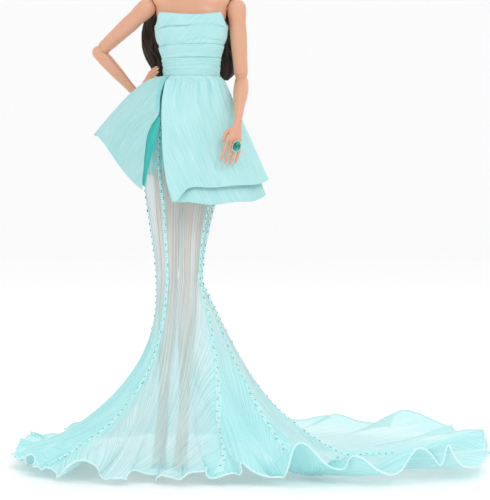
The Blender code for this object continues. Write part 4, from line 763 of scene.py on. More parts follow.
def build_hand(body, wrist, reach, back):
    """A palm with a full thumb side, knuckles and tendons on its back, four fingers, a thumb and nails."""
    normal, across = palm_axes(reach, back)
    half, thick = PALM_WIDTH / 2, PALM_THICKNESS / 2
    rows = [(0.62, WRIST_RADIUS, WRIST_RADIUS * 0.92), (2.4, WRIST_RADIUS * 1.02, WRIST_RADIUS * 0.90)]
    rows += [(PALM_LENGTH / MM * travel, half * wide, thick * deep) for travel, wide, deep in PALM_ROWS]
    rows = np.array(rows) * [[MM, 1, 1]]
    travel = np.linspace(rows[0, 0], rows[-1, 0], 26)
    stations = np.concatenate([dome(WRIST_RADIUS, 8)[:-1], np.column_stack([travel, smooth(rows, travel)])])
    turn = round_turn(32)
    side = stations[:, 1:2] * np.cos(turn)
    on_back = np.clip(np.sin(turn), 0, 1)[None, :]
    share = stations[:, :1] / PALM_LENGTH
    tendon = sum(bump(side, PALM_WIDTH * place * (0.5 + 0.5 * share), 0.0006) for place in FINGER_PLACE_SHARES)
    knuckles = sum(bump(side, PALM_WIDTH * place, 0.0008) for place in FINGER_PLACE_SHARES) * bump(share, 0.86, 0.10)
    rise = stations[:, 2:3] * np.sin(turn) + on_back * (tendon * 0.00014 * ease(share * 2) + knuckles * 0.0003)
    deep = np.cross(reach, across)
    sign = 1 if np.dot(deep, normal) > 0 else -1
    rings = wrist + stations[:, :1, None] * reach + side[..., None] * across + (rise * sign)[..., None] * deep
    form = Form().tube(rings[:, ::sign])
    for number in range(4):
        finger(form, finger_joints(wrist, reach, back, number), normal, FINGER_RADIUS)
    inner = across * (1 if across[0] < 0 else -1)
    base = wrist + reach * PALM_LENGTH * 0.35 + inner * PALM_WIDTH * 0.22 - normal * PALM_THICKNESS * 0.15
    middle = base + unit(reach + inner * 0.75 - normal * 0.25) * HAND_LENGTH * 0.22
    tip = middle + unit(reach * 1.2 + inner * 0.12) * HAND_LENGTH * 0.20
    finger(form, (base, middle, tip), unit(normal + inner * 0.3), THUMB_RADIUS * 1.04)
    return form.make(body + "_skin", VINYL, body, "skin_vinyl", [body])


def collar(name, pivot, along, low, high, foot_radius, top_radius, body):
    """The joint's own collar, between the end of the part above and the ball of the part below."""
    levels = np.linspace(low, high, 8)
    share = (levels - low) / (high - low)
    wide = foot_radius + (top_radius - foot_radius) * ease(share) - 0.12 * MM * bump(share, 0, 0.12)
    path = pivot - levels[:, None] * along
    Form().tube(path_rings(path, (0.3, 1.0, 0.1), wide, wide, 40)).make(name, VINYL, body, "joint_vinyl", (), 0.9)


def build_arm(side):
    """Upper arm with a full shoulder, forearm, hand and the two collars of one side."""
    word = NAMES[side]
    shoulder, elbow, wrist, reach, back = side_values(side)
    upper, lower = unit(elbow - shoulder), unit(wrist - elbow)

    def muscle(travel, turn):
        """The upper arm's front and back fullness, and a hollow below the shoulder."""
        return 0.05 * np.sin(turn) ** 2 * bump(travel, 0.45, 0.25) - 0.03 * bump(travel, 0.24, 0.10)

    def flesh(travel, turn):
        """The forearm's fullness below the elbow."""
        return 0.05 * np.cos(turn * 2) * bump(travel, 0.3, 0.22)

    limb(word + "_upper_arm", shoulder, elbow, SHOULDER_RADIUS, ARM_RADIUS, ARM_SHARES, ELBOW_RADIUS + GAP,
         (0, 1, 0), muscle)
    limb(word + "_forearm", elbow, wrist, ELBOW_RADIUS, FOREARM_RADIUS, FOREARM_SHARES, WRIST_RADIUS + GAP,
         unit(np.cross(upper, lower)), flesh)
    build_hand(word + "_hand", wrist, reach, back)
    collar(word + "_elbow_collar", elbow, upper, 2.1 * MM, ELBOW_RADIUS + GAP, 2.95 * MM, 3.35 * MM, word + "_elbow")
    collar(word + "_wrist_collar", wrist, lower, 1.2 * MM, WRIST_RADIUS + GAP, 1.78 * MM, 1.95 * MM, word + "_wrist")


def leg_values(side):
    """Pivots of one leg, and its foot's middle on the floor."""
    knee = np.array([-6.2, 10.5, 98.0] if side < 0 else [3.9, 6.0, 98.0]) * MM
    foot = np.array([-11.4, 5.0, 0.0] if side < 0 else [0.0, 0.0, 0.0]) * MM
    hip = np.array([BODY_X - HIP_SWAY + side * HIP_HALF_SPAN, BODY_Y, HIP_HEIGHT])
    return hip, knee, foot + np.array([ANKLE_IN, ANKLE_BACK, ANKLE_HEIGHT]), foot


# Half width and half thickness of the foot from its heel to its toes, in shares of its radius
FOOT_SHARES = np.array([(0.95, 1.05), (1.0, 0.75), (1.08, 0.48), (0.95, 0.40), (0.6, 0.25)])


def build_leg(side):
    """Thigh, and a shin with a calf, a shin bone, an ankle and an arched foot with toes."""
    word = NAMES[side]
    hip, knee, ankle, foot = leg_values(side)
    limb(word + "_thigh", hip, knee, THIGH_RADIUS, THIGH_RADIUS, THIGH_SHARES, KNEE_RADIUS + GAP, (1, 0, 0))
    line = np.linspace(0.08, 1.0, 26)[:, None]
    sizes = smooth(SHIN_SHARES, line[:, 0]) * CALF_RADIUS
    sole = SOLE_THICKNESS + GAP + FOOT_RADIUS * 0.42
    arch = foot + np.array([
        [ANKLE_IN * 0.5, ANKLE_BACK * 0.72, ANKLE_HEIGHT * 0.62], [0, ANKLE_BACK * 0.25, ANKLE_HEIGHT * 0.30],
        [0, -TOE_FORWARD * 0.25, sole * 1.25], [0, -TOE_FORWARD * 0.75, sole], [0, -TOE_FORWARD, sole]])
    knots = np.concatenate([[ankle], arch])
    place = np.concatenate([[0], np.cumsum(np.linalg.norm(np.diff(knots, axis=0), axis=1))])
    at = np.linspace(0, place[-1], 22)[1:]
    knot_sizes = np.concatenate([sizes[-1:], FOOT_SHARES * FOOT_RADIUS])
    path = np.concatenate([knee + line * (ankle - knee), smooth(np.column_stack([place, knots]), at)])
    sizes = np.concatenate([sizes, smooth(np.column_stack([place, knot_sizes]), at)])
    rings = path_rings(path, (1.0, 0, 0), sizes[:, 0], sizes[:, 1], 32)
    lower = unit(ankle - knee)
    across, back = across_and_deep(lower, np.array([1.0, 0, 0]))
    top = line_rings(knee, lower, across, back, dome(KNEE_RADIUS, 12), round_turn(32))
    Form().tube(np.concatenate([top, rings])).make(word + "_shin_skin", VINYL, word + "_shin", "skin_vinyl",
                                                   [word + "_shin"])
    collar(word + "_knee_collar", knee, unit(knee - hip), 2.6 * MM, KNEE_RADIUS + GAP, 4.1 * MM, 4.6 * MM,
           word + "_thigh")
def chest_section(height):
    """Half width and half depth of the chest at a height."""
    base = WAIST_HEIGHT - WAIST_SEAM_DROP
    values = smooth(CHEST_SHARES, (np.asarray(height, dtype=float) - base) / (NECK_TOP_HEIGHT - base))
    return values[..., 0] * TORSO_HALF_WIDTH, values[..., 1] * TORSO_HALF_DEPTH


def build_chest():
    """Front and back of the chest: level ovals, with collarbones, the notch between them and the shoulder blades."""
    heights = np.linspace(NECK_TOP_HEIGHT, WAIST_HEIGHT - WAIST_SEAM_DROP, 84)[:, None]
    wide, deep = chest_section(heights)
    socket = SHOULDER_RADIUS + 0.0005
    for word, middle, seam in (("front", 0.0, 0.00015), ("back", 180.0, -0.00015)):
        turn = np.radians(middle + np.linspace(-89.4, 89.4, 73)[None, :])
        x = (wide + 3.0 * MM * bump(heights, 0.2450, 0.0034)) * np.sin(turn)
        y = -deep * np.cos(turn)
        reach = np.abs(x)
        if word == "front":
            line = 0.2462 + 0.10 * (reach - 0.003)
            bone = bump(heights, line, 0.0011) * ease((reach - 0.0012) / 0.003) * ease((0.0150 - reach) / 0.004)
            above = (bump(heights, line + 0.0030, 0.0016) * ease((reach - 0.002) / 0.003)
                     * ease((0.0120 - reach) / 0.004))
            notch = bump(heights, 0.2475, 0.0016) * bump(x, 0, 0.0018)
            y = y - 0.00075 * bone + 0.0006 * above + 0.0006 * notch
        else:
            blade = bump(heights, 0.238, 0.006) * bump(reach, 0.0085, 0.004)
            spine = bump(x, 0, 0.0018) * ease((heights - 0.206) / 0.01) * ease((0.250 - heights) / 0.01)
            y = y + 0.0008 * blade - 0.0007 * spine
        points = spots(BODY_X + x, BODY_Y + y, heights)
        for side in (-1, 1):
            centre = np.array([BODY_X + side * SHOULDER_HALF_SPAN, BODY_Y, SHOULDER_HEIGHT])
            near = np.linalg.norm((points - centre)[..., 1:], axis=-1)
            limit = centre[0] - side * np.sqrt(np.clip(socket ** 2 - near ** 2, 0, None))
            held = (np.minimum if side > 0 else np.maximum)(points[..., 0], limit)
            points[..., 0] = np.where(near < socket, held, points[..., 0])
        flat = points.copy()
        flat[..., 1] = BODY_Y - seam
        Form().cloth(points, flat).make("chest_{}_skin".format(word), VINYL, "torso", "skin_vinyl", ["chest_" + word])


JAW_TAPER, JAW_POWER = 0.34, 1.6


def head_surface(polar, turn, extra=0.0):
    """The head as an egg: polar runs from the crown, turn from the face; the jaw narrows towards the chin."""
    sin_polar, cos_polar = np.sin(polar), np.cos(polar)
    low = np.clip(-cos_polar, 0, 1)
    x = HEAD_HALF_WIDTH * (1 - JAW_TAPER * low ** JAW_POWER) * sin_polar * np.sin(turn)
    front, back = (HEAD_HALF_DEPTH * (1 - taper) * sin_polar * np.cos(turn)
                   for taper in (0.10 * low, 0.42 * low ** 1.2))
    grown = 1 + extra / HEAD_HALF_WIDTH + 0 * x
    egg = spots(x, -np.where(np.cos(turn) > 0, front, back), HEAD_HALF_HEIGHT * cos_polar)
    return HEAD_CENTRE + egg * np.asarray(grown)[..., None]


EYE_OUT, EYE_LEVEL = 4.7, 0.0
MOUTH_LEVEL = -10.0


def face_relief(side, rise):
    """How far the face stands forward of the egg, in millimetres, at a place across and up from its middle.

    Each bell is a height, then its place and half width across, then its place and half height up. Those over the
    eye and the cheek count the distance out to either side.
    """
    out = np.abs(side)
    bridge = ease((3.4 - rise) / 9.0) * ease((rise + 8.2) / 1.6)
    cupid = MOUTH_LEVEL + 0.95 - 0.25 * bump(side, 0, 0.5) - 0.10 * out
    bells = [
        (0.35, out, 4.6, 2.6, 4.2, 1.4), (-1.15, out, EYE_OUT, 2.9, EYE_LEVEL + 0.2, 2.2),
        (0.95, out, EYE_OUT, 2.0, EYE_LEVEL, 1.25), None, (0.75, out, 1.35, 0.55, -6.3, 0.8),
        (0.7, out, 6.2, 3.0, -4.6, 3.0), (0.95, side, 0, 2.3, cupid, 0.75),
        (1.15, side, 0, 2.0, MOUTH_LEVEL - 1.05, 0.85), (-0.75, side, 0, 2.4, MOUTH_LEVEL + 0.04 * out, 0.28),
        (-0.25, side, 0, 0.5, MOUTH_LEVEL + 2.2, 0.9), (-0.35, side, 0, 2.0, MOUTH_LEVEL - 2.6, 0.8),
        (1.9, side, 0, 3.0, -14.6, 2.2),
    ]
    relief = 0
    for bell in bells:
        if bell:
            height, across, place, half_width, level, half_height = bell
            relief = relief + height * bump(across, place, half_width) * bump(rise, level, half_height)
        else:
            relief = relief + 2.25 * bridge * bump(side, 0, 1.05 + 0.5 * ease((1.0 - rise) / 7.0))
    return relief


def face_finish():
    """The head's vinyl with painted brows, lids, lashes, irises, lips and a little blush.

    Each painted shape is an ellipse or an arc in millimetres from the face's middle, mirrored across it.
    """
    made = Finish("painted_vinyl", SKIN, 0.42, **SOFT_VINYL, Specular_IOR_Level=0.42)
    side = made.coordinate(0, "Object", 1000) - HEAD_CENTRE[0] / MM
    rise = made.coordinate(2, "Object", 1000) - HEAD_CENTRE[2] / MM
    front = (HEAD_CENTRE[1] / MM - 3.0 - made.coordinate(1, "Object", 1000)).ramp(0.0, 1.0)
    out = side.size()
    above_mouth = rise - MOUTH_LEVEL

    def oval(centre_out, centre_rise, half_out, half_rise, soft=0.06, across=out):
        """1 inside an ellipse, with a soft rim."""
        wide, tall = (across - centre_out) / half_out, (rise - centre_rise) / half_rise
        return (1 - (wide * wide + tall * tall).root().ramp(1 - soft, 1 + soft)) * front

    eye = oval(EYE_OUT, EYE_LEVEL, 2.35, 1.12)
    lash = oval(EYE_OUT + 0.12, EYE_LEVEL + 0.22, 2.62, 1.36) * (rise - EYE_LEVEL + 0.25).ramp(-0.2, 0.3)
    arch = (rise - (4.35 - 0.085 * (out - 5.4) * (out - 5.4))).size() / (0.46 - 0.035 * (out - 2.4))
    brow = (1 - arch.ramp(0.75, 1.1)) * out.ramp(2.1, 2.9) * (1 - out.ramp(7.7, 8.5)) * front
    upper = oval(1.02, MOUTH_LEVEL + 0.35, 1.75, 0.95) * above_mouth.ramp(-0.12, 0.02)
    lower = oval(0.0, MOUTH_LEVEL - 0.25, 2.25, 1.60) * (1 - above_mouth.ramp(-0.10, 0.05))
    line = (1 - (above_mouth.size() / 0.10).ramp(0.5, 1.2)) * (1 - out.ramp(2.3, 2.8)) * front
    colour = SKIN
    painted = [(oval(6.8, -4.6, 3.2, 2.6, 0.8) * 0.22, (0.78, 0.25, 0.19)),
               (oval(EYE_OUT + 0.15, EYE_LEVEL + 0.9, 3.0, 2.1, 0.35) * 0.55, (0.36, 0.17, 0.11)),
               (lash, (0.012, 0.008, 0.007)), (eye, (0.86, 0.84, 0.81))]
    painted += [(oval(EYE_OUT - 0.1, EYE_LEVEL + 0.12, size, size, soft) * eye, tone) for size, soft, tone in
                ((1.12, 0.08, (0.035, 0.018, 0.010)), (0.95, 0.10, (0.23, 0.12, 0.045)),
                 (0.46, 0.12, (0.004, 0.003, 0.003)))]
    painted += [(oval(0.0, EYE_LEVEL + 0.55, 0.24, 0.22, across=out - EYE_OUT + 0.45), (0.95, 0.95, 0.95)),
                (brow * 0.9, (0.035, 0.017, 0.011)), (upper, (0.50, 0.10, 0.085)), (lower, (0.58, 0.13, 0.11)),
                (line * 0.8, (0.16, 0.03, 0.025))]
    for share, tone in painted:
        colour = made.mix(share, colour, tone)
    grain = made.grain(5200.0)
    made.set(Base_Color=colour, Roughness=0.40 + grain * 0.08 - (upper + lower + eye).least(1.0) * 0.22)
    return made.raise_by(grain, 0.06, 0.00008)


THROAT_RADIUS = 5.15 * MM


def build_head():
    """The head, denser over the face, closed at the crown and hollow at the neck."""
    polar = np.concatenate([np.linspace(0.05, 1.2, 26), np.linspace(1.2, 2.75, 130)[1:],
                            np.linspace(2.75, 2.98, 6)[1:]])
    turn = np.concatenate([np.linspace(-1.05, 1.05, 141), np.linspace(1.05, 2 * math.pi - 1.05, 61)[1:-1]])
    turn = np.where(turn > math.pi, turn - 2 * math.pi, turn)
    polar, turn = np.meshgrid(polar, turn, indexing="ij")
    points = head_surface(polar, turn)
    side, rise = ((points[..., axis] - HEAD_CENTRE[axis]) / MM for axis in (0, 2))
    points[..., 1] -= face_relief(side, rise) * MM * ease((np.cos(turn) - 0.25) / 0.35)
    points[..., 1] += (BODY_Y - HEAD_CENTRE[1]) * ease((polar - 1.9) / 0.9) * ease((0.5 - np.cos(turn)) / 0.8)
    axis = np.array([BODY_X, BODY_Y])
    away = points[..., :2] - axis
    reach = np.maximum(np.linalg.norm(away, axis=-1), 1e-6)
    throat = THROAT_RADIUS * ease((polar - 2.10) / 0.50)
    points[..., :2] = axis + away * (np.maximum(reach, throat) / reach)[..., None]
    rim = points[-1]
    centre = np.array([BODY_X, BODY_Y, 0.0])
    rings = []
    for share, lift in ((1.0, -0.0013), (0.97, -0.0014), (0.95, -0.0012), (0.94, 0.0018), (0.88, 0.0040)):
        ring = centre + (rim - centre) * [share, share, 1.0]
        ring[:, 2] = rim[:, 2] + lift
        rings.append(ring)
    points = np.concatenate([points, rings])
    form = Form().grid(points, wraps=True)
    form.fan(points[0], 0, False)
    form.fan(points[-1], form.count - 1 - len(rim), True)
    form.make("head_skin", face_finish(), "head", "skin_vinyl", ["head"], 1.2)
    height = np.array([0.15, 0.45, 1.2, 2.4, 3.2, 3.9, 4.4]) * MM
    size = THROAT_RADIUS * np.array([0.90, 0.935, 0.935, 0.93, 0.84, 0.66, 0.42])
    path = spots(BODY_X, BODY_Y, NECK_TOP_HEIGHT + height)
    Form().tube(path_rings(path, (1.0, 0, 0), size, size, 64)).make("neck_knob", VINYL, "neck", "skin_vinyl", (), 1.0)
    build_lashes()


def build_lashes():
    """Upper lashes: short curved spikes that fan out along each eye's upper edge."""
    form = Form()
    for sign in (-1, 1):
        for share in np.linspace(-0.9, 1.0, 15):
            out = EYE_OUT + 0.12 + share * 2.45
            rise = EYE_LEVEL + 0.22 + 1.22 * math.sqrt(max(0.02, 1 - share * share))
            foot = face_point(sign * out, rise, 0.0)
            length = 1.0 + 0.55 * ease((share + 0.9) / 1.9)
            lean = np.array([sign * 0.55 * share, -0.75, 0.32])
            steps = np.linspace(0, 1, 5)[:, None]
            path = foot + steps * unit(lean) * length * MM + steps ** 2 * np.array([0, 0, 0.55]) * MM * length
            size = 0.085 * MM * (1.05 - steps[:, 0])
            form.tube(path_rings(path, (1.0, 0.1, 0), size, size, 5))
    form.make("lashes", LASH, "head", "hair")


def face_point(side, rise, forward):
    """A point on the face from its place across and up, in millimetres, and how far forward of the skin."""
    cos_polar = np.clip(rise / (HEAD_HALF_HEIGHT / MM), -0.99, 0.99)
    polar = math.acos(cos_polar)
    low = max(-cos_polar, 0)
    wide = HEAD_HALF_WIDTH / MM * (1 - JAW_TAPER * low ** JAW_POWER) * math.sin(polar)
    turn = math.asin(np.clip(side / wide, -0.98, 0.98))
    point = head_surface(np.array(polar), np.array(turn)).copy()
    point[1] -= (face_relief(np.array(side), np.array(rise)) + forward) * MM
    return point


def hair_edge(turn):
    """How far down from the crown the hair reaches: short over the face, long at the nape."""
    return 0.94 + 1.50 * (1 - np.clip((np.cos(turn) - 0.10) / 0.90, 0, 1)) ** 1.25


def hair_surface(polar, turn, extra, inward=0.0):
    """The skull down to its widest level; behind the face the hair then falls nearly straight past the nape."""
    skull = head_surface(polar, turn, extra)
    below = np.maximum(polar - math.pi / 2, 0)
    across = (HEAD_HALF_WIDTH + extra - inward) * (1 - 0.05 * below ** 2)
    deep = (HEAD_HALF_DEPTH + extra - inward) * (1 - 0.07 * below ** 2)
    x = across * np.sin(turn)
    y = -deep * np.cos(turn) * np.where(np.cos(turn) > 0, 0.95, 1.0)
    z = np.where(polar > math.pi / 2, -(HEAD_HALF_HEIGHT + extra) * below, (HEAD_HALF_HEIGHT + extra) * np.cos(polar))
    falling = HEAD_CENTRE + np.stack([x + 0 * z, y + 0 * z, z + 0 * x], axis=-1)
    share = ease((polar - 1.40) / 0.55) * ease((0.62 - np.cos(turn)) / 0.5)
    return skull + (falling - skull) * share[..., None]


def build_hair_cap():
    """Rooted hair over the skull: combed back from the brow in waving clumps, parted on one side."""
    sides, rows = 240, 64
    turn = np.linspace(0, 2 * math.pi, sides + 1)[:-1]
    turn = np.where(turn > math.pi, turn - 2 * math.pi, turn)[None, :]
    share = np.linspace(0.03, 1.0, rows)[:, None]
    polar = share * hair_edge(turn)
    plump = HAIR_THICKNESS * (0.72 + 0.30 * ease((0.35 - np.cos(turn)) / 0.5) * share)
    clump = wander(turn * 23 + polar * 2.2, turn * 41 - polar * 3.1, turn * 67 + 1.3)
    strand = np.sin(turn * 118 + 3.0 * np.sin(polar * 3.0 + turn * 2))
    part = bump(turn, 0.42, 0.07) * ease((1.0 - polar) / 0.9) * (np.cos(turn) > 0)
    ragged = 0.85 + 0.5 * wander(turn * 9, turn * 17, turn * 31)
    edge = ease((1.0 - share) / ((0.10 + 0.22 * ease((np.cos(turn) - 0.2) / 0.5)) * ragged)) * 0.8 + 0.2
    lift = CAP_GAP + plump * edge + 0.00042 * clump * ease(share * 6) + 0.00010 * strand * ease(share * 6)
    lift = lift - 0.0009 * part
    outer = hair_surface(polar, turn, lift)
    inner = hair_surface(polar, turn, CAP_GAP * 0.5 + 0 * lift, -0.0008)
    form = Form().cloth(outer, inner, True, (0.075, 0.04), True)
    form.make("hair_cap_strands", HAIR, "head", "hair", ["hair_cap"], 1.3)


LOCK_TOP_HEIGHT = 267.6 * MM
LOCK_BOTTOM_HEIGHT = 204.0 * MM
LOCK_BACK = 20.8 * MM
LOCK_START_BACK = 10.0 * MM
LOCK_SIDE_FORWARD = 4.0 * MM
LOCK_HALF_DEPTH = 4.4 * MM
LOCK_HALF_WIDTH = 8.0 * MM
LOCK_SPACING = 17.2 * MM
LOCK_WAVE = 1.6 * MM
LOCK_COUNT = 38
GOLDEN_ANGLE = 2.39996
LOCK_SHARES = [
    (0.0, 0.50, 0.55), (0.16, 0.62, 0.80), (0.35, 0.82, 1.0), (0.55, 0.96, 1.0), (0.75, 1.05, 1.0),
    (0.88, 0.90, 0.88), (0.96, 0.62, 0.58), (1.0, 0.28, 0.25),
]


# Millimetres each length swings outward on its way down: the right one low, the left one high
BULGES = {
    -1: lambda travel: 1.8 * bump(travel, 0.74, 0.18) - 1.2 * bump(travel, 0.36, 0.13),
    0: lambda travel: 0 * travel,
    1: lambda travel: 2.2 * bump(travel, 0.34, 0.16) - 0.6 * bump(travel, 0.80, 0.16),
}


def lock_path(place, travel):
    """The middle line and the half sizes of one of the three lengths of hair."""
    height = LOCK_TOP_HEIGHT + (LOCK_BOTTOM_HEIGHT - LOCK_TOP_HEIGHT) * travel
    spread = np.sin(np.clip(travel * 2.2, 0, 1) * math.pi / 2)
    x = BODY_X + place * LOCK_SPACING * (0.52 + 0.48 * spread) + LOCK_WAVE * np.sin(travel * 9)
    x = x - place * LOCK_SPACING * 0.05 * travel + place * BULGES[place](travel) * MM
    start = LOCK_START_BACK - LOCK_SIDE_FORWARD * abs(place)
    y = BODY_Y + start + (LOCK_BACK - start) * spread
    sizes = smooth(LOCK_SHARES, travel)
    return np.stack([x, y, height], axis=-1), sizes[..., 0] * LOCK_HALF_WIDTH, sizes[..., 1] * LOCK_HALF_DEPTH


def level_rings(path, wide, deep, sides):
    turn = (np.arange(sides) + 0.5) * (2 * math.pi / sides)
    rings = np.repeat(path[:, None, :], sides, axis=1)
    rings[..., 0] += wide[:, None] * np.cos(turn)
    rings[..., 1] += deep[:, None] * np.sin(turn)
    return rings


def build_hair_lengths():
    """Three wavy lengths behind the back: each a fluted core with tapered waving locks laid over it."""
    draw = np.random.default_rng(11)
    for word, place in (("right", -1), ("middle", 0), ("left", 1)):
        form = Form()
        travel = np.linspace(0, 1, 64)
        path, wide, deep = lock_path(place, travel)
        turn = (np.arange(72) + 0.5) * (2 * math.pi / 72)
        rings = level_rings(path, wide * 0.86, deep * 0.84, 72)
        flute = wander(turn[None, :] * 7 + travel[:, None] * 7, turn[None, :] * 13 - travel[:, None] * 9)
        away = unit(rings - path[:, None, :])
        rings = rings + away * (flute * 0.00045)[..., None] * np.clip(wide / LOCK_HALF_WIDTH, 0.3, 1)[:, None, None]
        form.tube(rings, uv=(0.045, 0.07))
        for number in range(LOCK_COUNT):
            angle = number * GOLDEN_ANGLE + 0.3
            depth_share = 0.80 + 0.14 * draw.random()
            start, stop = 0.02 + 0.10 * draw.random(), 0.86 + 0.14 * draw.random()
            at = np.linspace(start, stop, 20)
            middle, half_wide, half_deep = lock_path(place, at)
            sway = 0.22 * np.sin(at * 15 + number * 0.35) + 0.10 * np.sin(at * 31 + number)
            ride = angle + sway
            lock = middle.copy()
            lock[:, 0] += half_wide * depth_share * np.cos(ride)
            lock[:, 1] += half_deep * depth_share * np.sin(ride)
            thick = (1.25 + 0.5 * draw.random()) * MM
            size = thick * np.sqrt(np.clip((at - start) / 0.06, 0.05, 1)) * np.clip((stop - at) / 0.20, 0.06, 1) ** 0.7
            flat = size * 0.55
            form.tube(level_rings(lock, size, flat, 7), uv=(0.006, 0.07))
        points = np.concatenate(form.points)
        low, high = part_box("hair_" + word)
        for axis in range(3):
            points[:, axis] = np.clip(points[:, axis], low[axis] - 0.0012, high[axis] + 0.0012)
        form.points = [points]
        made = form.make("hair_{}_locks".format(word), HAIR, None, "hair", ["hair_" + word], 1.4)
        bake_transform(made)
    build_nape_hair()


def build_nape_hair():
    """Hair from under the cap's rim over the tops of the lengths: a fluted sheet that thins to a ragged edge."""
    across = np.linspace(-1, 1, 161)[None, :]
    down = np.linspace(0, 1, 44)[:, None]
    from_back = across * 1.75
    ragged = 22.5 + 3.2 * wander(from_back * 9, from_back * 17, from_back * 29)
    swell = down ** 1.15
    flute = 0.42 * wander(from_back * 19 + down * 3, from_back * 37 - down * 2, from_back * 61) * ease(down * 4)

    def layer(inward):
        top = np.stack([(12.9 - inward) * np.sin(from_back), 5.8 + (14.0 - inward) * np.cos(from_back)])
        low = np.stack([(22.0 - inward) * np.sin(across * 1.45), 19.0 + (12.8 - inward) * np.cos(across * 1.45)])
        flat = top * (1 - swell) + low * swell
        out = np.stack([np.sin(from_back) + 0 * down, np.cos(from_back) + 0 * down]) * flute
        return np.stack([BODY_X / MM + flat[0] + out[0], flat[1] + out[1], 271.5 - ragged * down], axis=-1) * MM

    edge = ease((1 - np.abs(across)) / 0.12)
    form = Form().cloth(layer(0.0), layer((1.7 * (1 - down) ** 0.6 + 0.18) * (0.25 + 0.75 * edge)), uv=(0.055, 0.024))
    made = form.make("nape_hair", HAIR, None, "hair", (), 1.4)
    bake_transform(made)


FOLD_COUNTS = (11, 17)
RUFFLE_COUNTS = (17, 29)
FLOOR_GAP = 0.3 * MM
BAND_WALL = 0.6 * MM
BODICE_TOP_HEIGHT = 236.6 * MM
BODICE_BOTTOM_HEIGHT = 204.4 * MM
LINING_WALL = 0.5 * MM
LINING_SPACING = 0.95 * MM
LINING_TOP_DROP = 2.2 * MM
TAPE_WIDTH = 1.9 * MM
CRYSTAL_SPACING = 3.5 * MM
CRYSTAL_RADIUS = 0.68 * MM
HEM_ROLL = 0.50 * MM

# Bands of the bodice: bottom and top in millimetres, how far the top stands proud, upward pleats, and the cut's
# length in metres with the share of its box that is cloth
BANDS = {
    "neckline_band": (229.4, 237.4, 0.90, 0, 0.105, 0.70),
    "bust_band": (220.4, 229.4, 1.00, 0, 0.112, 0.88),
    "midriff_band": (214.0, 220.4, 0.70, 1, 0.104, 0.60),
    "waist_pleats": (208.4, 214.0, 0.35, 3, 0.095, 0.56),
    "waistband": (204.4, 208.4, 0.10, 2, 0.090, 0.42),
}


def bodice_outside(height):
    wide, deep = chest_section(height)
    return wide + BODICE_EASE + BODICE_WALL, deep + BODICE_EASE + BODICE_WALL


def band_surface(name, angle, rise, offset):
    """A band: ovals round the bodice that lean outward as they rise, with soft creases or upward pleats.

    Each pleat is a saw edge of the rise: it stands further out towards its top and drops back above it.
    """
    bottom, top, flare, pleats = BANDS[name][:4]
    turn = np.radians(angle)
    under_arm = np.sin(turn) ** 4
    start = np.where(np.sin(turn) > 0, 0.74, 0.80)
    corner = np.clip((np.abs(np.sin(turn)) - start) / (1 - start), 0, 1) ** 0.9 * np.where(np.cos(turn) > 0, 1.0, 0.8)
    dip = (NECKLINE_DIP + 0.9 * MM) * corner if name == "neckline_band" else 0
    sag = 1.7 * MM * bump(angle, 4, 36) - 0.5 * MM if name == "neckline_band" else 0
    low = bottom * MM - 0.9 * MM
    height = low + (top * MM - dip - sag - low) * rise
    wide, deep = bodice_outside(height)
    puff = offset + BAND_FLARE * flare * (0.25 + 0.75 * rise) * (1 - 0.35 * under_arm)
    puff = puff - 0.75 * MM * ease((0.16 - rise) / 0.16)
    if pleats:
        saw = (rise * pleats + 0.12 * np.sin(turn * 2 + 1.0 + pleats) + 0.07 * np.sin(turn * 5 + pleats)) % 1
        puff = puff + 0.42 * MM * (saw - 0.5) * ease((1 - saw) / 0.10) * ease(np.minimum(rise, 1 - rise) / 0.06)
    else:
        puff = puff + 0.45 * MM * bump(rise, 0.50, 0.32)
        puff = puff - 0.40 * MM * bump(rise, 0.22 + 0.09 * np.sin(turn * 2 + 0.4) + 0.04 * np.sin(turn * 7), 0.06)
        slack = 0.5 + 0.5 * np.sin(turn * 2 + 1.0)
        puff = puff - 0.22 * MM * bump(rise, 0.40 + 0.12 * np.sin(turn * 3 + 1.9), 0.05) * slack
    puff = puff + 0.10 * MM * wander(turn * 5 + rise * 3, turn * 11 - rise * 4, turn * 17 + rise * 6)
    puff = puff - 0.16 * MM * (bump(rise, 0, 0.035) + bump(rise, 1, 0.035))
    bow = (0.75 * np.cos(turn) + 0.45 * np.sin(turn)) * MM * (rise if name == "neckline_band" else 1)
    return np.stack([BODY_X + (wide + puff) * np.sin(turn), BODY_Y - (deep + puff) * np.cos(turn),
                     height + bow * (1.0 if name in ("bust_band", "midriff_band") else 0.35)], axis=-1)


def cloth_piece(name, finish, slot, outer, inner, size, replaces=(), wraps=False,
                tints=None):
    """A piece of cloth on the torso: a closed thin sheet, or an open one where inner is None."""
    form = Form()
    if inner is None:
        form.grid(outer, wraps=wraps, uv=lay_flat(outer, True))
    else:
        form.cloth(outer, inner, wraps=wraps, uv=size if wraps else lay_flat(outer))
    made = form.make(name, finish, "torso", slot, replaces, 1.0, tints, inner is not None)
    return made


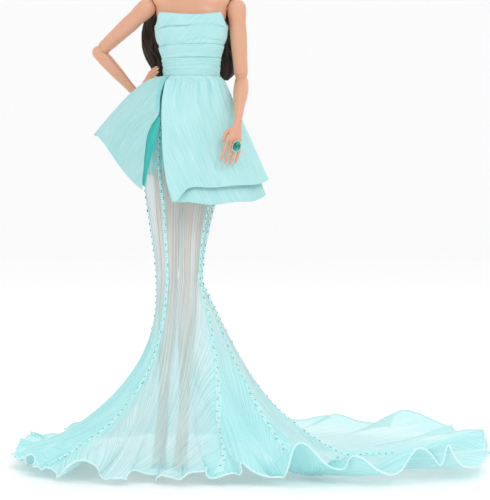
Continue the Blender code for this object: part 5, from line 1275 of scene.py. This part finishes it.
def build_bodice():
    """The boned lining next to the body, and five bands of cloth folded round it."""
    angle = np.linspace(-180, 180, 241)[None, :-1]
    rise = np.linspace(1, 0, 40)[:, None]
    turn = np.radians(angle)
    height = BODICE_BOTTOM_HEIGHT + (BODICE_TOP_HEIGHT - NECKLINE_DIP * np.sin(turn) ** 4 - BODICE_BOTTOM_HEIGHT) * rise
    wide, deep = bodice_outside(height)
    walls = []
    for step in (0.0, -BODICE_WALL * 0.8):
        walls.append(np.stack([BODY_X + (wide + step) * np.sin(turn), BODY_Y - (deep + step) * np.cos(turn), height],
                              axis=-1))
    cloth_piece("bodice_lining", MINT_ACROSS, "mint_cloth", walls[0], walls[1], (0.110, 0.032),
                ["bodice_shell"], True)
    for name, (_, _, _, pleats, cut, share) in BANDS.items():
        rise = np.linspace(1, 0, 44)[:, None]
        outer = band_surface(name, angle, rise + 0 * angle, GAP + BAND_WALL)
        inner = band_surface(name, angle, rise + 0 * angle, GAP)
        finish = MINT_ACROSS if pleats else MINT_BIAS
        cloth_piece(name + "_cloth", finish, "mint_cloth", outer, inner, (cut, 0.0101),
                    [name], True)


def peplum_point(angle, travel, shrink=0.0):
    """The peplum leaves the waist, runs outward by its reach and falls by its drop, each set by the angle.

    Gathers start at the waist and fade down; slow folds and a gentle wave grow towards the hem.
    """
    wrapped = (np.asarray(angle, dtype=float) + 180) % 360 - 180
    values = smooth(PEPLUM_SHARES, wrapped)
    turn = np.radians(angle)
    travel = np.maximum(travel, 1e-4)
    out = values[..., 0] * PEPLUM_REACH * travel ** values[..., 2]
    fold = PEPLUM_FOLD * travel * (1 - 0.5 * travel) * np.sin(turn * 9 + 0.6)
    out = out + fold - shrink * np.minimum(1.0, travel * 4)
    near = ease(travel / 0.05) * np.exp(-travel * 7)
    gather = 0.55 * np.sin(turn * 29 + 1.2) + 0.40 * np.sin(turn * 43 + 0.5) + 0.25 * np.sin(turn * 67)
    deep = ease(travel / 0.04) * bump(travel, 0.10, 0.13)
    pinch = 2.6 * bump(wrapped, 35, 5) + 1.3 * bump(wrapped, 14, 4) + 1.0 * bump(wrapped, 58, 5)
    out = out + (0.85 * near * gather - deep * pinch) * MM
    out = out + travel ** 2 * (0.45 * np.sin(turn * 5 + 1.0) + 0.25 * np.sin(turn * 14)) * MM
    tuck = (1 - ease(travel / 0.05)) * MM
    x = BODY_X + (PEPLUM_WAIST_WIDTH + out - 0.55 * tuck) * np.sin(turn)
    y = BODY_Y - (PEPLUM_WAIST_DEPTH + out - 1.35 * tuck) * np.cos(turn)
    z = PEPLUM_TOP_HEIGHT - values[..., 1] * PEPLUM_DROP * travel + 0.5 * MM * travel ** 3 * np.sin(turn * 8 + 2.0)
    return np.stack([x, y, z], axis=-1)


def slit_angle(table, travel):
    return smooth(table, travel)[..., 0]


def edge_wall(wall, *shares):
    """A sheet's thickness, fuller where it is turned in along its edges."""
    full = sum(bump(share, 0, 0.012) for share in shares)
    return (wall * (1 + 0.7 * np.minimum(full, 1)))[..., None]


def build_peplum():
    """Two panels that part at the slit, the right one with a second layer, and a deep mint sheet of painted shade
    inside the slit.
    """
    half_gap = math.degrees(GAP / PEPLUM_WAIST_WIDTH)
    wall = 0.5 * MM

    def panel(name, finish, point, angle, travel, edges, size, front=0.0):
        """One panel; its inner side takes the tint of painted shade, and so may a part of its front."""
        outer, inner = sheet_walls(point, angle, travel, edge_wall(wall, *edges))
        tints = np.concatenate([np.broadcast_to(front, travel.shape).ravel(), np.ones(travel.size)])
        return cloth_piece(name, finish, "mint_cloth", outer, inner, size,
                           [name.rsplit("_", 1)[0]], tints=tints)

    def left_point(turned, down):
        return peplum_point(turned, down, shrink=(wall + 0.25 * MM) * ease((-177.0 - turned) / 2.0))

    rows, columns = np.linspace(0, 1, 90)[:, None], np.linspace(0, 1, 150)[None, :]
    slit = slit_angle(SLIT_LEFT_DEGREES, rows) - half_gap
    angle = -183 + (slit + 183) * columns
    travel = rows + 0 * columns
    # Painted shade: by the slit's edge, down to about a third of the way, the left panel's front takes part of the deep
    # tint where it turns under.
    turned_under_shade = 0.6 * ease((angle - slit + 5.5) / 1.5) * (1 - ease((travel - 0.28) / 0.08))
    panel("peplum_left_panel", MINT_LEFT_PAINTED_SHADE, left_point, angle, travel, (1 - travel, 1 - columns + 0 * rows),
          (0.095, 0.056), turned_under_shade)
    columns = np.linspace(0, 1, 190)[None, :]
    travel = rows * (0.87 + 0.13 * bump(columns, 0, 0.07))
    slit = slit_angle(SLIT_RIGHT_DEGREES, travel) + half_gap
    angle = slit + (180 - half_gap - slit) * columns
    upper = panel("peplum_right_panel", MINT_RIGHT, peplum_point, angle, travel,
                  (1 - rows + 0 * columns, columns + 0 * rows), (0.135, 0.060))
    def under_point(turned, down):
        spread = 2.6 * MM * down ** 2 * bump(turned, 85, 40)
        return peplum_point(turned, down, shrink=LAYER_SPACING + PEPLUM_WALL + spread)

    rows = np.linspace(0.26, 1.0, 70)[:, None]
    slit = slit_angle(SLIT_RIGHT_DEGREES, rows) + half_gap + 1.2
    travel = rows + 0 * columns
    panel("peplum_right_under_layer", MINT_RIGHT, under_point, slit + (180 - half_gap - slit) * columns, travel,
          (1 - travel, columns + 0 * rows), (0.130, 0.050))
    # The sheet of painted shade lies just inside the left panel, from its slit edge out into the slit.
    def shade_sheet_point(turned, down):
        return peplum_point(turned, down, shrink=0.9 * MM)

    rows = np.linspace(0.37, 0.97, 60)[:, None]
    columns = np.linspace(0, 1, 14)[None, :]
    slit = slit_angle(SLIT_LEFT_DEGREES, rows)
    angle = slit - 6.0 + (6.0 + slit_angle(SHADE_SHEET_DEGREES, rows) - slit) * columns
    travel = rows + 0 * columns
    outer, inner = sheet_walls(shade_sheet_point, angle, travel, 0.3 * MM)
    cloth_piece("slit_painted_shade_sheet", MINT_PAINTED_SHADE_SHEET, "mint_cloth", outer, inner, (0.0105, 0.038))


# Flutes of the hem: angle and half width in degrees, and how far each curls up in millimetres
HEM_FLUTES = [
    (-150, 5, 5.0), (-128, 5, 4.0), (-108, 5, 5.0), (-88, 4, 4.0), (-67, 4, 6.0), (-38, 4, 5.5), (13, 4, 4.5),
    (28, 3.5, 6.5), (43, 3.6, 15.0), (54, 2.6, 9.0), (62, 2.2, 12.0), (69, 2.0, 9.0), (80, 3.0, 5.0), (94, 3.5, 6.0),
    (105, 3.0, 7.0), (117, 3.5, 6.0), (129, 3.0, 7.0), (142, 3.5, 6.0), (158, 4.0, 5.0), (174, 4.0, 4.0),
]


def skirt_section(height):
    """Centre, half width and half depth of the fitted skirt between its top and the knees."""
    share = (SKIRT_TOP_HEIGHT - np.asarray(height, dtype=float)) / (SKIRT_TOP_HEIGHT - KNEE_HEIGHT)
    centre = BODY_X - KNEE_SWAY * (1 - smooth(SKIRT_CENTRE_SHARES, share)[..., 0])
    values = smooth(SKIRT_SECTION_SHARES, share)
    return centre, values[..., 0] * SKIRT_HALF_WIDTH, values[..., 1] * SKIRT_HALF_DEPTH


def skirt_point(angle, travel):
    """The skirt: fitted ovals down to the knees, then falling outward in folds, then lying as a train.

    Below the knees the cloth is walked down the fall and then along the floor; ruffles are sines of the angle
    that grow towards the hem, and the last part of the cloth stands in small waves along its rolled edge.
    """
    angle, travel = np.broadcast_arrays(np.asarray(angle, dtype=float), np.asarray(travel, dtype=float))
    turn = np.radians(angle)
    upper = np.clip(travel / SKIRT_KNEE_SHARE, 0, 1)
    height = SKIRT_TOP_HEIGHT + (KNEE_HEIGHT - SKIRT_TOP_HEIGHT) * upper
    centre, wide, deep = skirt_section(height)
    behind = np.clip(-np.cos(turn), 0, 1) ** 0.5 * np.clip(2.4 * upper - 1.4, 0, 1)
    deep = deep * (1 + BACK_FULLNESS_SHARE * behind)
    lower = np.clip((travel - SKIRT_KNEE_SHARE) / (1 - SKIRT_KNEE_SHARE), 0, 2)
    wrapped = (angle + 180) % 360 - 180
    full = smooth(HEM_SHARES, wrapped)[..., 0] * TRAIN_REACH - wide
    flare = np.minimum(smooth(FLARE_SHARES, wrapped)[..., 0] * FLARE_REACH, full)
    fall = np.hypot(flare, KNEE_HEIGHT)
    walked = lower * (fall + full - flare)
    dropped = walked / fall
    drop = np.minimum(dropped, 1)
    right, left = ease((-np.sin(turn) - 0.2) / 0.6), ease((np.sin(turn) - 0.2) / 0.6)
    curve = (1 - left) * drop ** (FLARE_POWER + 0.4 * right) + left * (0.62 * drop + 0.38 * drop ** 4.5)
    out = flare * curve + np.maximum(walked - fall, 0)
    folds = np.sin(turn * FOLD_COUNTS[0] + 0.8) + 0.6 * np.sin(turn * FOLD_COUNTS[1] + 2.1)
    out = out + FOLD_DEPTH * drop ** 2.2 * folds
    meander = turn * 13 + 1.5 * np.sin(turn * 2) + 0.9
    swing = ease((travel - 0.70) / 0.30) ** 1.3
    out = out + 2.2 * MM * swing * np.sin(meander)
    falling = np.maximum(1 - dropped, 0) * KNEE_HEIGHT
    broad = (1 + np.sin(turn * RUFFLE_COUNTS[0] + 0.4)) / 2
    fine = (1 + np.sin(turn * RUFFLE_COUNTS[1] + out / RUFFLE_SPACING)) / 2
    ruffle = RUFFLE_HEIGHT * (np.clip(dropped - 0.55, 0, 1) * broad + 0.8 * np.clip(lower - 0.6, 0, 1) * fine)
    crease = drop ** 1.5 * (0.45 * np.sin(turn * 41 + 2.0 * np.sin(turn * 3)) + 0.30 * np.sin(turn * 73 + 1.0)) * MM
    edge = ease((travel - 0.82) / 0.18)
    frill = ease((travel - 0.93) / 0.07)
    wave = turn * 53 + 1.4 * np.sin(turn * 5)
    lie = ease((full - flare) / 0.03)
    ruffle = ruffle + lie * edge * MM * (2.6 * (1 + np.sin(turn * 23 + 1.6 * np.sin(turn * 4))) / 2)
    ruffle = ruffle + frill * MM * (0.9 + 0.9 * np.sin(wave))
    curl = ease((travel - 0.84) / 0.16) ** 1.2
    flute = sum(lift * bump(wrapped, place, width) for place, width, lift in HEM_FLUTES) * curl * MM
    ruffle = ruffle + flute
    out = out + crease + frill * 0.9 * MM * np.sin(wave + 1.5) - 0.3 * flute
    turn = turn + 0.042 * swing * np.sin(2 * meander)
    x = centre + (wide + out) * np.sin(turn)
    y = BODY_Y - (deep + out) * np.cos(turn)
    z = np.where(travel < SKIRT_KNEE_SHARE, height, np.hypot(falling, HEM_REST) + ruffle + np.abs(crease) * 0.6)
    return np.stack([x, y, z], axis=-1)


# Degrees by which a seam stands aside at the waist, the travel where it starts to swing back, and over how much
SEAM_ASIDE = {"front": (-14, 0.13, 0.14), "side_front": (-9, 0.30, 0.12), "godet": (-7, 0.30, 0.12)}


def seam_angle(name, travel):
    """A seam runs straight down the fitted part and swings to its place at the hem below the knees."""
    knee, hem = GORE_SEAM_DEGREES[name]
    lower = np.clip((travel - SKIRT_KNEE_SHARE) / (1 - SKIRT_KNEE_SHARE), 0, 1)
    degrees, start, over = SEAM_ASIDE.get(name, (0, 0, 1))
    return knee + degrees * (1 - ease((travel - start) / over)) + (hem - knee) * lower ** 0.8


def reach_from_axis(points):
    centre, _, _ = skirt_section(np.clip(points[..., 2], KNEE_HEIGHT, SKIRT_TOP_HEIGHT))
    return np.hypot(points[..., 0] - centre, points[..., 1] - BODY_Y)


# Gores between one seam and the next: columns, cut width and length in metres, share of that box, and tint in the
# flare, set lower on the side gore as painted light where light shines through
GORES = {
    "front_gore": (110, 0.085, 0.205, 0.50, 0.42), "godet_gore": (70, 0.040, 0.275, 0.35, 1.0),
    "side_gore": (96, 0.120, 0.300, 0.34, 0.62), "train_gore": (110, 0.150, 0.300, 0.43, 0.62),
    "back_gore": (110, 0.150, 0.260, 0.38, 0.80), "left_gore": (96, 0.090, 0.215, 0.42, 1.0),
}


def build_skirt():
    """Six gores of sheer cloth, the opaque lining at the hips, the rolled hem, the seam tapes and their crystals."""
    travel = np.concatenate([np.linspace(0, SKIRT_KNEE_SHARE, 50)[:-1], np.linspace(SKIRT_KNEE_SHARE, 1, 120)])[:, None]
    names = list(GORE_SEAM_DEGREES)
    for (gore, values), first, second in zip(GORES.items(), names, names[1:] + names[:1]):
        count, width, length, share, tint = values
        start = seam_angle(first, travel)
        end = seam_angle(second, travel) + (360 if second == names[0] else 0)
        columns = np.linspace(0, 1, count)[None, :]
        points = skirt_point(start + (end - start) * columns, travel + 0 * columns)
        points[..., 2] = np.maximum(points[..., 2], FLOOR_GAP)
        fade = 0.04 + 0.10 * ease((travel - 0.25) / 0.15) + (tint - 0.14) * ease((travel - 0.36) / 0.34)
        fade = fade + 0.75 * (1 - ease((travel - 0.184) / 0.008))
        seam = bump(columns, 0, 0.10) + bump(columns, 1, 0.10)
        tints = np.clip(fade + 0.5 * seam * ease((travel - 0.34) / 0.2) + 0.25 * ease((travel - 0.9) / 0.1), 0, 1)
        cloth_piece("skirt_{}_cloth".format(gore), SHEER, "sheer_cloth", points, None, (width, length),
                    ["skirt_" + gore], tints=tints)
    build_lining()
    build_hem()
    for name in names:
        build_tape(name)


def build_lining():
    """Opaque cloth round the hips, inside the sheer skirt."""
    heights = np.linspace(SKIRT_TOP_HEIGHT - LINING_TOP_DROP, LINING_BOTTOM_HEIGHT, 48)[:, None]
    turn = np.radians(np.linspace(-180, 180, 161)[None, :-1])
    centre, wide, deep = skirt_section(heights + 0 * turn)
    ripple = 0.10 * MM * np.sin(turn * 24 + 1.0) * np.sin(turn * 7)
    walls = []
    for step in (LINING_SPACING, LINING_SPACING + LINING_WALL):
        walls.append(np.stack([centre + (wide - step + ripple) * np.sin(turn),
                               BODY_Y - (deep - step + ripple) * np.cos(turn), heights + 0 * turn], axis=-1))
    cloth_piece("hip_lining_cloth", MINT, "mint_cloth", walls[0], walls[1], (0.112, 0.046),
                ["hip_lining"], True)


def build_hem():
    """The hem's rolled edge: a thin tube along the end of the cloth."""
    angle = np.linspace(-180, 180, 1081)
    path = skirt_point(angle, np.ones(len(angle)))
    path[:, 2] = np.maximum(path[:, 2], HEM_ROLL + 0.1 * MM)
    rings = path_rings(path, (0, 0, 1.0), HEM_ROLL, HEM_ROLL * 0.8, 8)
    rings[-1] = rings[0]
    form = Form().tube(rings, uv=(0.003, 0.72))
    form.make("rolled_hem", HEM, "torso", "sheer_cloth", (), 1.4)


# The tint of a crystal's points: its setting is dark, and its top pale, where the painted highlights fall
GEM_TINTS = [0.0] * 6 + [1.0] * 6 + [0.0, 1.0]


def gems(form, centres, normals, along, radius):
    """Cut crystals: six sides that narrow to a flat top, each set square to the cloth."""
    turn = np.arange(6) * (math.pi / 3)
    ring = np.stack([np.cos(turn), np.sin(turn), 0 * turn], axis=-1)
    base = np.concatenate([ring, ring * [0.58, 0.58, 1] + [0, 0, 0.62], [[0, 0, -0.45], [0, 0, 0.70]]])
    near = np.arange(6)
    after = (near + 1) % 6
    faces = np.concatenate([
        np.stack([near, after, near + 6], axis=-1), np.stack([after, after + 6, near + 6], axis=-1),
        np.stack([after, near, np.full(6, 12)], axis=-1), np.stack([near + 6, after + 6, np.full(6, 13)], axis=-1)])
    across = unit(np.cross(along, normals))
    ahead = np.cross(normals, across)
    radius = np.broadcast_to(radius, len(centres))[:, None, None]
    points = centres[:, None, :] + radius * (base[None, :, :1] * across[:, None] + base[None, :, 1:2] * ahead[:, None]
                                             + base[None, :, 2:] * normals[:, None])
    every = faces[None] + (np.arange(len(centres)) * len(base))[:, None, None]
    return form.add(points.reshape(-1, 3), every.reshape(-1, 3))


def build_tape(name):
    """A narrow tape over a seam, rounded across, and a row of crystals stepped from side to side along it."""
    travel = np.linspace(0.0, 0.985, 330)[:, None]
    middle = seam_angle(name, travel)
    reach = reach_from_axis(skirt_point(middle, travel))
    half = np.degrees(TAPE_WIDTH * (0.42 + 0.16 * ease((travel - 0.3) / 0.5)) / reach)
    side = np.linspace(-1, 1, 7)[None, :]
    wall = (0.35 + 0.65 * np.sqrt(np.clip(1 - side ** 2, 0, 1)) + 0 * travel)[..., None] * MM
    outer, inner = sheet_walls(skirt_point, middle + half * side, travel + 0 * side, wall, FLOOR_GAP)
    path = outer[:, 3]
    length = np.concatenate([[0], np.cumsum(np.linalg.norm(np.diff(path, axis=0), axis=1))])
    word = name.replace("_", "")
    form = Form().cloth(outer, inner, uv=(TAPE_WIDTH, float(length[-1])))
    form.make("seam_tape_" + word, TAPE_FINISH, "torso", "mint_cloth", (), 1.2)
    stations = np.arange(CRYSTAL_SPACING, length[-1] - CRYSTAL_SPACING, CRYSTAL_SPACING)
    at = np.interp(stations, length, travel[:, 0])
    offset = np.where(np.arange(len(at)) % 2 == 0, -0.30, 0.30)
    turned = np.interp(at, travel[:, 0], middle[:, 0]) + np.interp(at, travel[:, 0], half[:, 0]) * offset
    spot = skirt_point(turned, at)
    normal = -unit(np.cross(skirt_point(turned + 0.2, at) - skirt_point(turned - 0.2, at),
                            skirt_point(turned, at + 0.004) - skirt_point(turned, at - 0.004)))
    along = unit(skirt_point(turned, at + 0.004) - spot)
    size = CRYSTAL_RADIUS * (1 + 0.18 * np.sin(np.arange(len(at)) * 2.4))
    crystals = gems(Form(), spot + normal * 0.52 * MM, normal, along, size)
    crystals.make("crystals_" + word, CRYSTAL, "torso", "green_stone", (), 0.05, GEM_TINTS * len(at))


RING_RADIUS = 1.32 * MM
RING_WALL = 0.22 * MM
RING_WIDTH = 0.9 * MM
STONE_LENGTH = 5.5 * MM
STONE_WIDTH = 4.1 * MM
STONE_HEIGHT = 1.5 * MM
CLAW_COUNT = 8
SMALL_CRYSTAL_COUNT = 22
HEEL_TOP_RADIUS = 2.4 * MM
HEEL_TIP_RADIUS = 1.1 * MM


def build_ring():
    """A plain band, an oval setting with a rim of small crystals and claws, and a domed oval stone."""
    _, _, wrist, reach, back = side_values(1)
    normal, across = palm_axes(reach, back)
    base, middle, _ = finger_joints(wrist, reach, back, 1 if across[0] < 0 else 2)
    ahead = unit(middle - base)
    centre = base + (middle - base) * 0.60
    normal = unit(normal - ahead * np.dot(normal, ahead))
    across = np.cross(ahead, normal)
    turn = np.linspace(0, 2 * math.pi, 65)[:-1]
    profile = np.arange(12) * (2 * math.pi / 12)
    radius = (RING_RADIUS - RING_WALL / 2 + RING_WALL / 2 * np.sin(profile))[:, None]
    side = (RING_WIDTH / 2 * np.cos(profile) * 0.9)[:, None]
    rings = (centre + side[..., None] * ahead + (radius * np.cos(turn))[..., None] * normal
             + (radius * np.sin(turn))[..., None] * across)
    rings = np.concatenate([rings, rings[:1]])
    Form().grid(rings, wraps=True).make("ring_hoop", SILVER, "left_hand", "silver", ["ring_band"])
    seat = centre + normal * (RING_RADIUS + GAP)
    long_way = unit(ahead * math.cos(0.26) + across * math.sin(0.26))
    wide_way = unit(np.cross(normal, long_way))

    def stone_edge(turned):
        """Points on the stone's oval outline, from its middle."""
        turned = turned[:, None]
        return (np.cos(turned) * long_way * STONE_LENGTH + np.sin(turned) * wide_way * STONE_WIDTH) / 2
    def ovals(levels):
        """Level ovals of the stone's outline: each level gives a height and a share of its size."""
        rims = stone_edge(np.linspace(0, 2 * math.pi, 49)[:-1])
        return np.array([seat + normal * height + rims * share for height, share in levels])

    low = STONE_HEIGHT * 0.4
    setting = Form().tube(ovals([(0, 0.72), (low * 0.12, 0.86), (low * 0.5, 1.08), (low * 0.8, 1.17), (low, 1.15),
                                 (low * 1.05, 1.04)]))
    for number in range(CLAW_COUNT):
        angle = (number + 0.5) * math.pi / 4
        foot = (math.cos(angle) * long_way * STONE_LENGTH + math.sin(angle) * wide_way * STONE_WIDTH) / 2
        steps = np.linspace(0, 1, 6)[:, None]
        path = seat + foot * (1.06 - 0.16 * steps ** 2) + normal * (low * 0.7 + 0.62 * MM * steps)
        size = 0.20 * MM * np.sqrt(np.clip(1.02 - steps[:, 0] ** 3, 0.05, 1))
        setting.tube(path_rings(path, long_way, size, size, 8))
    setting.make("ring_oval_setting", SILVER, "left_hand", "silver", ["ring_setting"])
    dome_levels = [(low + GAP * 0.5, 0.97)] + [
        (low + GAP * 0.5 + STONE_HEIGHT * 0.95 * math.sin(step), math.cos(step) ** 0.85)
        for step in np.linspace(0.10, 1.50, 16)]
    Form().tube(ovals(dome_levels)).make("ring_oval_stone", STONE, "left_hand", "green_stone", ["ring_stone"])
    rim = stone_edge(np.linspace(0, 2 * math.pi, SMALL_CRYSTAL_COUNT + 1)[:-1])
    spots = seat + rim * 1.10 + normal * (low * 1.05)
    normals = np.repeat(normal[None, :], len(spots), axis=0)
    sparkle = gems(Form(), spots, normals, unit(rim), 0.26 * MM)
    sparkle.make("ring_small_crystals", CRYSTAL, "left_hand", "silver", (), 0.05, GEM_TINTS * len(spots))


SOLE_SHARES = [
    (-1.25, 0.0, 0.45), (-1.0, 0.0, 0.80), (-0.3, 0.0, 1.0), (0.25, 0.0, 0.98), (0.9, 0.14, 0.70),
    (1.5, 0.52, 0.50), (2.0, 0.90, 0.56), (2.3, 1.0, 0.50),
]
TOE_SHARES = [(-1.16, 0.30, 0.50), (-0.97, 0.62, 0.86), (-0.5, 0.98, 0.99), (-0.1, 1.30, 1.0), (0.22, 1.85, 0.97)]


def build_shoe(side):
    """A pump: a sole that rises to its shank, a slim heel that narrows downward, and a thin upper over the toes."""
    word = "right" if side < 0 else "left"
    _, _, _, foot = leg_values(side)
    travel = np.linspace(SOLE_SHARES[0][0], SOLE_SHARES[-1][0], 48)
    lift, width = np.moveaxis(smooth(SOLE_SHARES, travel), -1, 0)
    turn = (np.arange(24) + 0.5) * (2 * math.pi / 24)
    square_x = np.sign(np.cos(turn)) * np.abs(np.cos(turn)) ** 0.45
    square_z = np.sign(np.sin(turn)) * np.abs(np.sin(turn)) ** 0.45
    rings = np.stack([
        foot[0] + (width * SOLE_HALF_WIDTH)[:, None] * square_x,
        foot[1] + (travel * TOE_FORWARD)[:, None] + 0 * square_x,
        (lift * SHANK_HEIGHT + SOLE_THICKNESS / 2)[:, None] + SOLE_THICKNESS / 2 * square_z + 0 * square_x,
    ], axis=-1)
    form = Form().tube(rings, uv=(0.02, 0.03))
    height = np.linspace(0, 0.93, 20)
    size = HEEL_TIP_RADIUS + (HEEL_TOP_RADIUS - HEEL_TIP_RADIUS) * ease((height - 0.25) / 0.75)
    path = np.stack([foot[0] + 0 * height, foot[1] + 2.0 * TOE_FORWARD - 0.4 * MM * height, height * SHANK_HEIGHT],
                    axis=-1)
    form.tube(path_rings(path, (1.0, 0, 0), size, size, 20))
    form.make(word + "_shoe_sole_and_heel", SHOE, word + "_shin", "shoe", [word + "_shoe_sole"])
    travel = np.linspace(TOE_SHARES[0][0], TOE_SHARES[-1][0], 32)
    height, width = np.moveaxis(smooth(TOE_SHARES, travel), -1, 0)
    turn = np.linspace(0, math.pi, 33)
    walls = []
    for wall in (0.0, 0.40 * MM):
        walls.append(np.stack([
            foot[0] - (width * SOLE_HALF_WIDTH - wall)[:, None] * np.cos(turn),
            foot[1] + (travel * TOE_FORWARD + wall * (travel < -1.1))[:, None] + 0 * turn,
            SOLE_THICKNESS + GAP * 0.3 + (height * FOOT_RADIUS - wall)[:, None] * np.sin(turn)], axis=-1))
    Form().cloth(walls[0], walls[1], uv=(0.02, 0.01)).make(word + "_shoe_toe", SHOE, word + "_shin", "shoe",
                                                           [word + "_shoe_upper"])


def finish_inner_parts():
    """The pegs, axles and pelvis keep the frame's shapes and take the doll's vinyl."""
    shown = ["neck_peg", "waist_peg", "hip_axle", "pelvis"]
    shown += [side + part for side in ("right", "left") for part in
              ("_shoulder_peg", "_elbow_peg", "_wrist_peg", "_knee_peg")]
    for name in shown:
        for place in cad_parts[name].material_slots:
            place.material = PEG_VINYL


CAMERA_LENS_MM, CAMERA_SENSOR_MM = 139.96, 36.0
CAMERA_PLACE, CAMERA_TILT_DEGREES = (0.0336, -0.992, 0.149), 88.0


def build_stage():
    """A seamless pale floor and backdrop, soft lights from above, both sides and the front, and the camera."""
    ahead = np.linspace(-4.0, 5.4, 110)
    rise = 3.4 * ease((ahead - 2.6) / 2.8)
    across = np.linspace(-4.0, 4.0, 3)
    points = np.stack(np.broadcast_arrays(across[None, :], ahead[:, None], rise[:, None]), axis=-1)
    form = Form().grid(points)
    floor = form.make("floor", FLOOR, None, None, (), 1.5, None, False)
    world = bpy.data.worlds.new("studio")
    world.use_nodes = True
    world.node_tree.nodes["Background"].inputs[0].default_value = (1.0, 1.0, 1.0, 1.0)
    world.node_tree.nodes["Background"].inputs[1].default_value = 0.88
    bpy.context.scene.world = world
    lights = [
        ("key", (0.70, -1.15, 1.15), (0.0, 0.0, 0.14), 0.45, 4.2),
        ("fill", (-1.1, -1.1, 0.6), (0.02, 0.0, 0.14), 0.5, 1.6),
        ("top", (0.0, 0.15, 1.5), (0.0, 0.0, 0.1), 0.9, 1.8), ("rim", (0.5, 1.1, 0.9), (0.0, 0.0, 0.18), 0.8, 1.2),
    ]
    for name, place, aim, size, power in lights:
        data = bpy.data.lights.new(name, "AREA")
        data.shape, data.size, data.energy = "DISK", size, power
        light = bpy.data.objects.new(name, data)
        light.location = place
        away = Vector(place) - Vector(aim)
        light.rotation_euler = away.to_track_quat("Z", "Y").to_euler()
        bpy.context.scene.collection.objects.link(light)
    data = bpy.data.cameras.new("camera")
    data.lens, data.sensor_width, data.sensor_fit = CAMERA_LENS_MM, CAMERA_SENSOR_MM, "HORIZONTAL"
    data.clip_start, data.clip_end = 0.05, 20.0
    camera = bpy.data.objects.new("camera", data)
    camera.location = CAMERA_PLACE
    camera.rotation_euler = (math.radians(CAMERA_TILT_DEGREES), 0.0, 0.0)
    bpy.context.scene.collection.objects.link(camera)
    bpy.context.scene.camera = camera
    bpy.context.scene.view_settings.view_transform = "Standard"


def main():
    build_stage()
    build_chest()
    for side in (-1, 1):
        build_arm(side)
        build_leg(side)
        build_shoe(side)
    build_head()
    build_hair_cap()
    build_hair_lengths()
    build_bodice()
    build_peplum()
    build_skirt()
    build_ring()
    finish_inner_parts()


main()
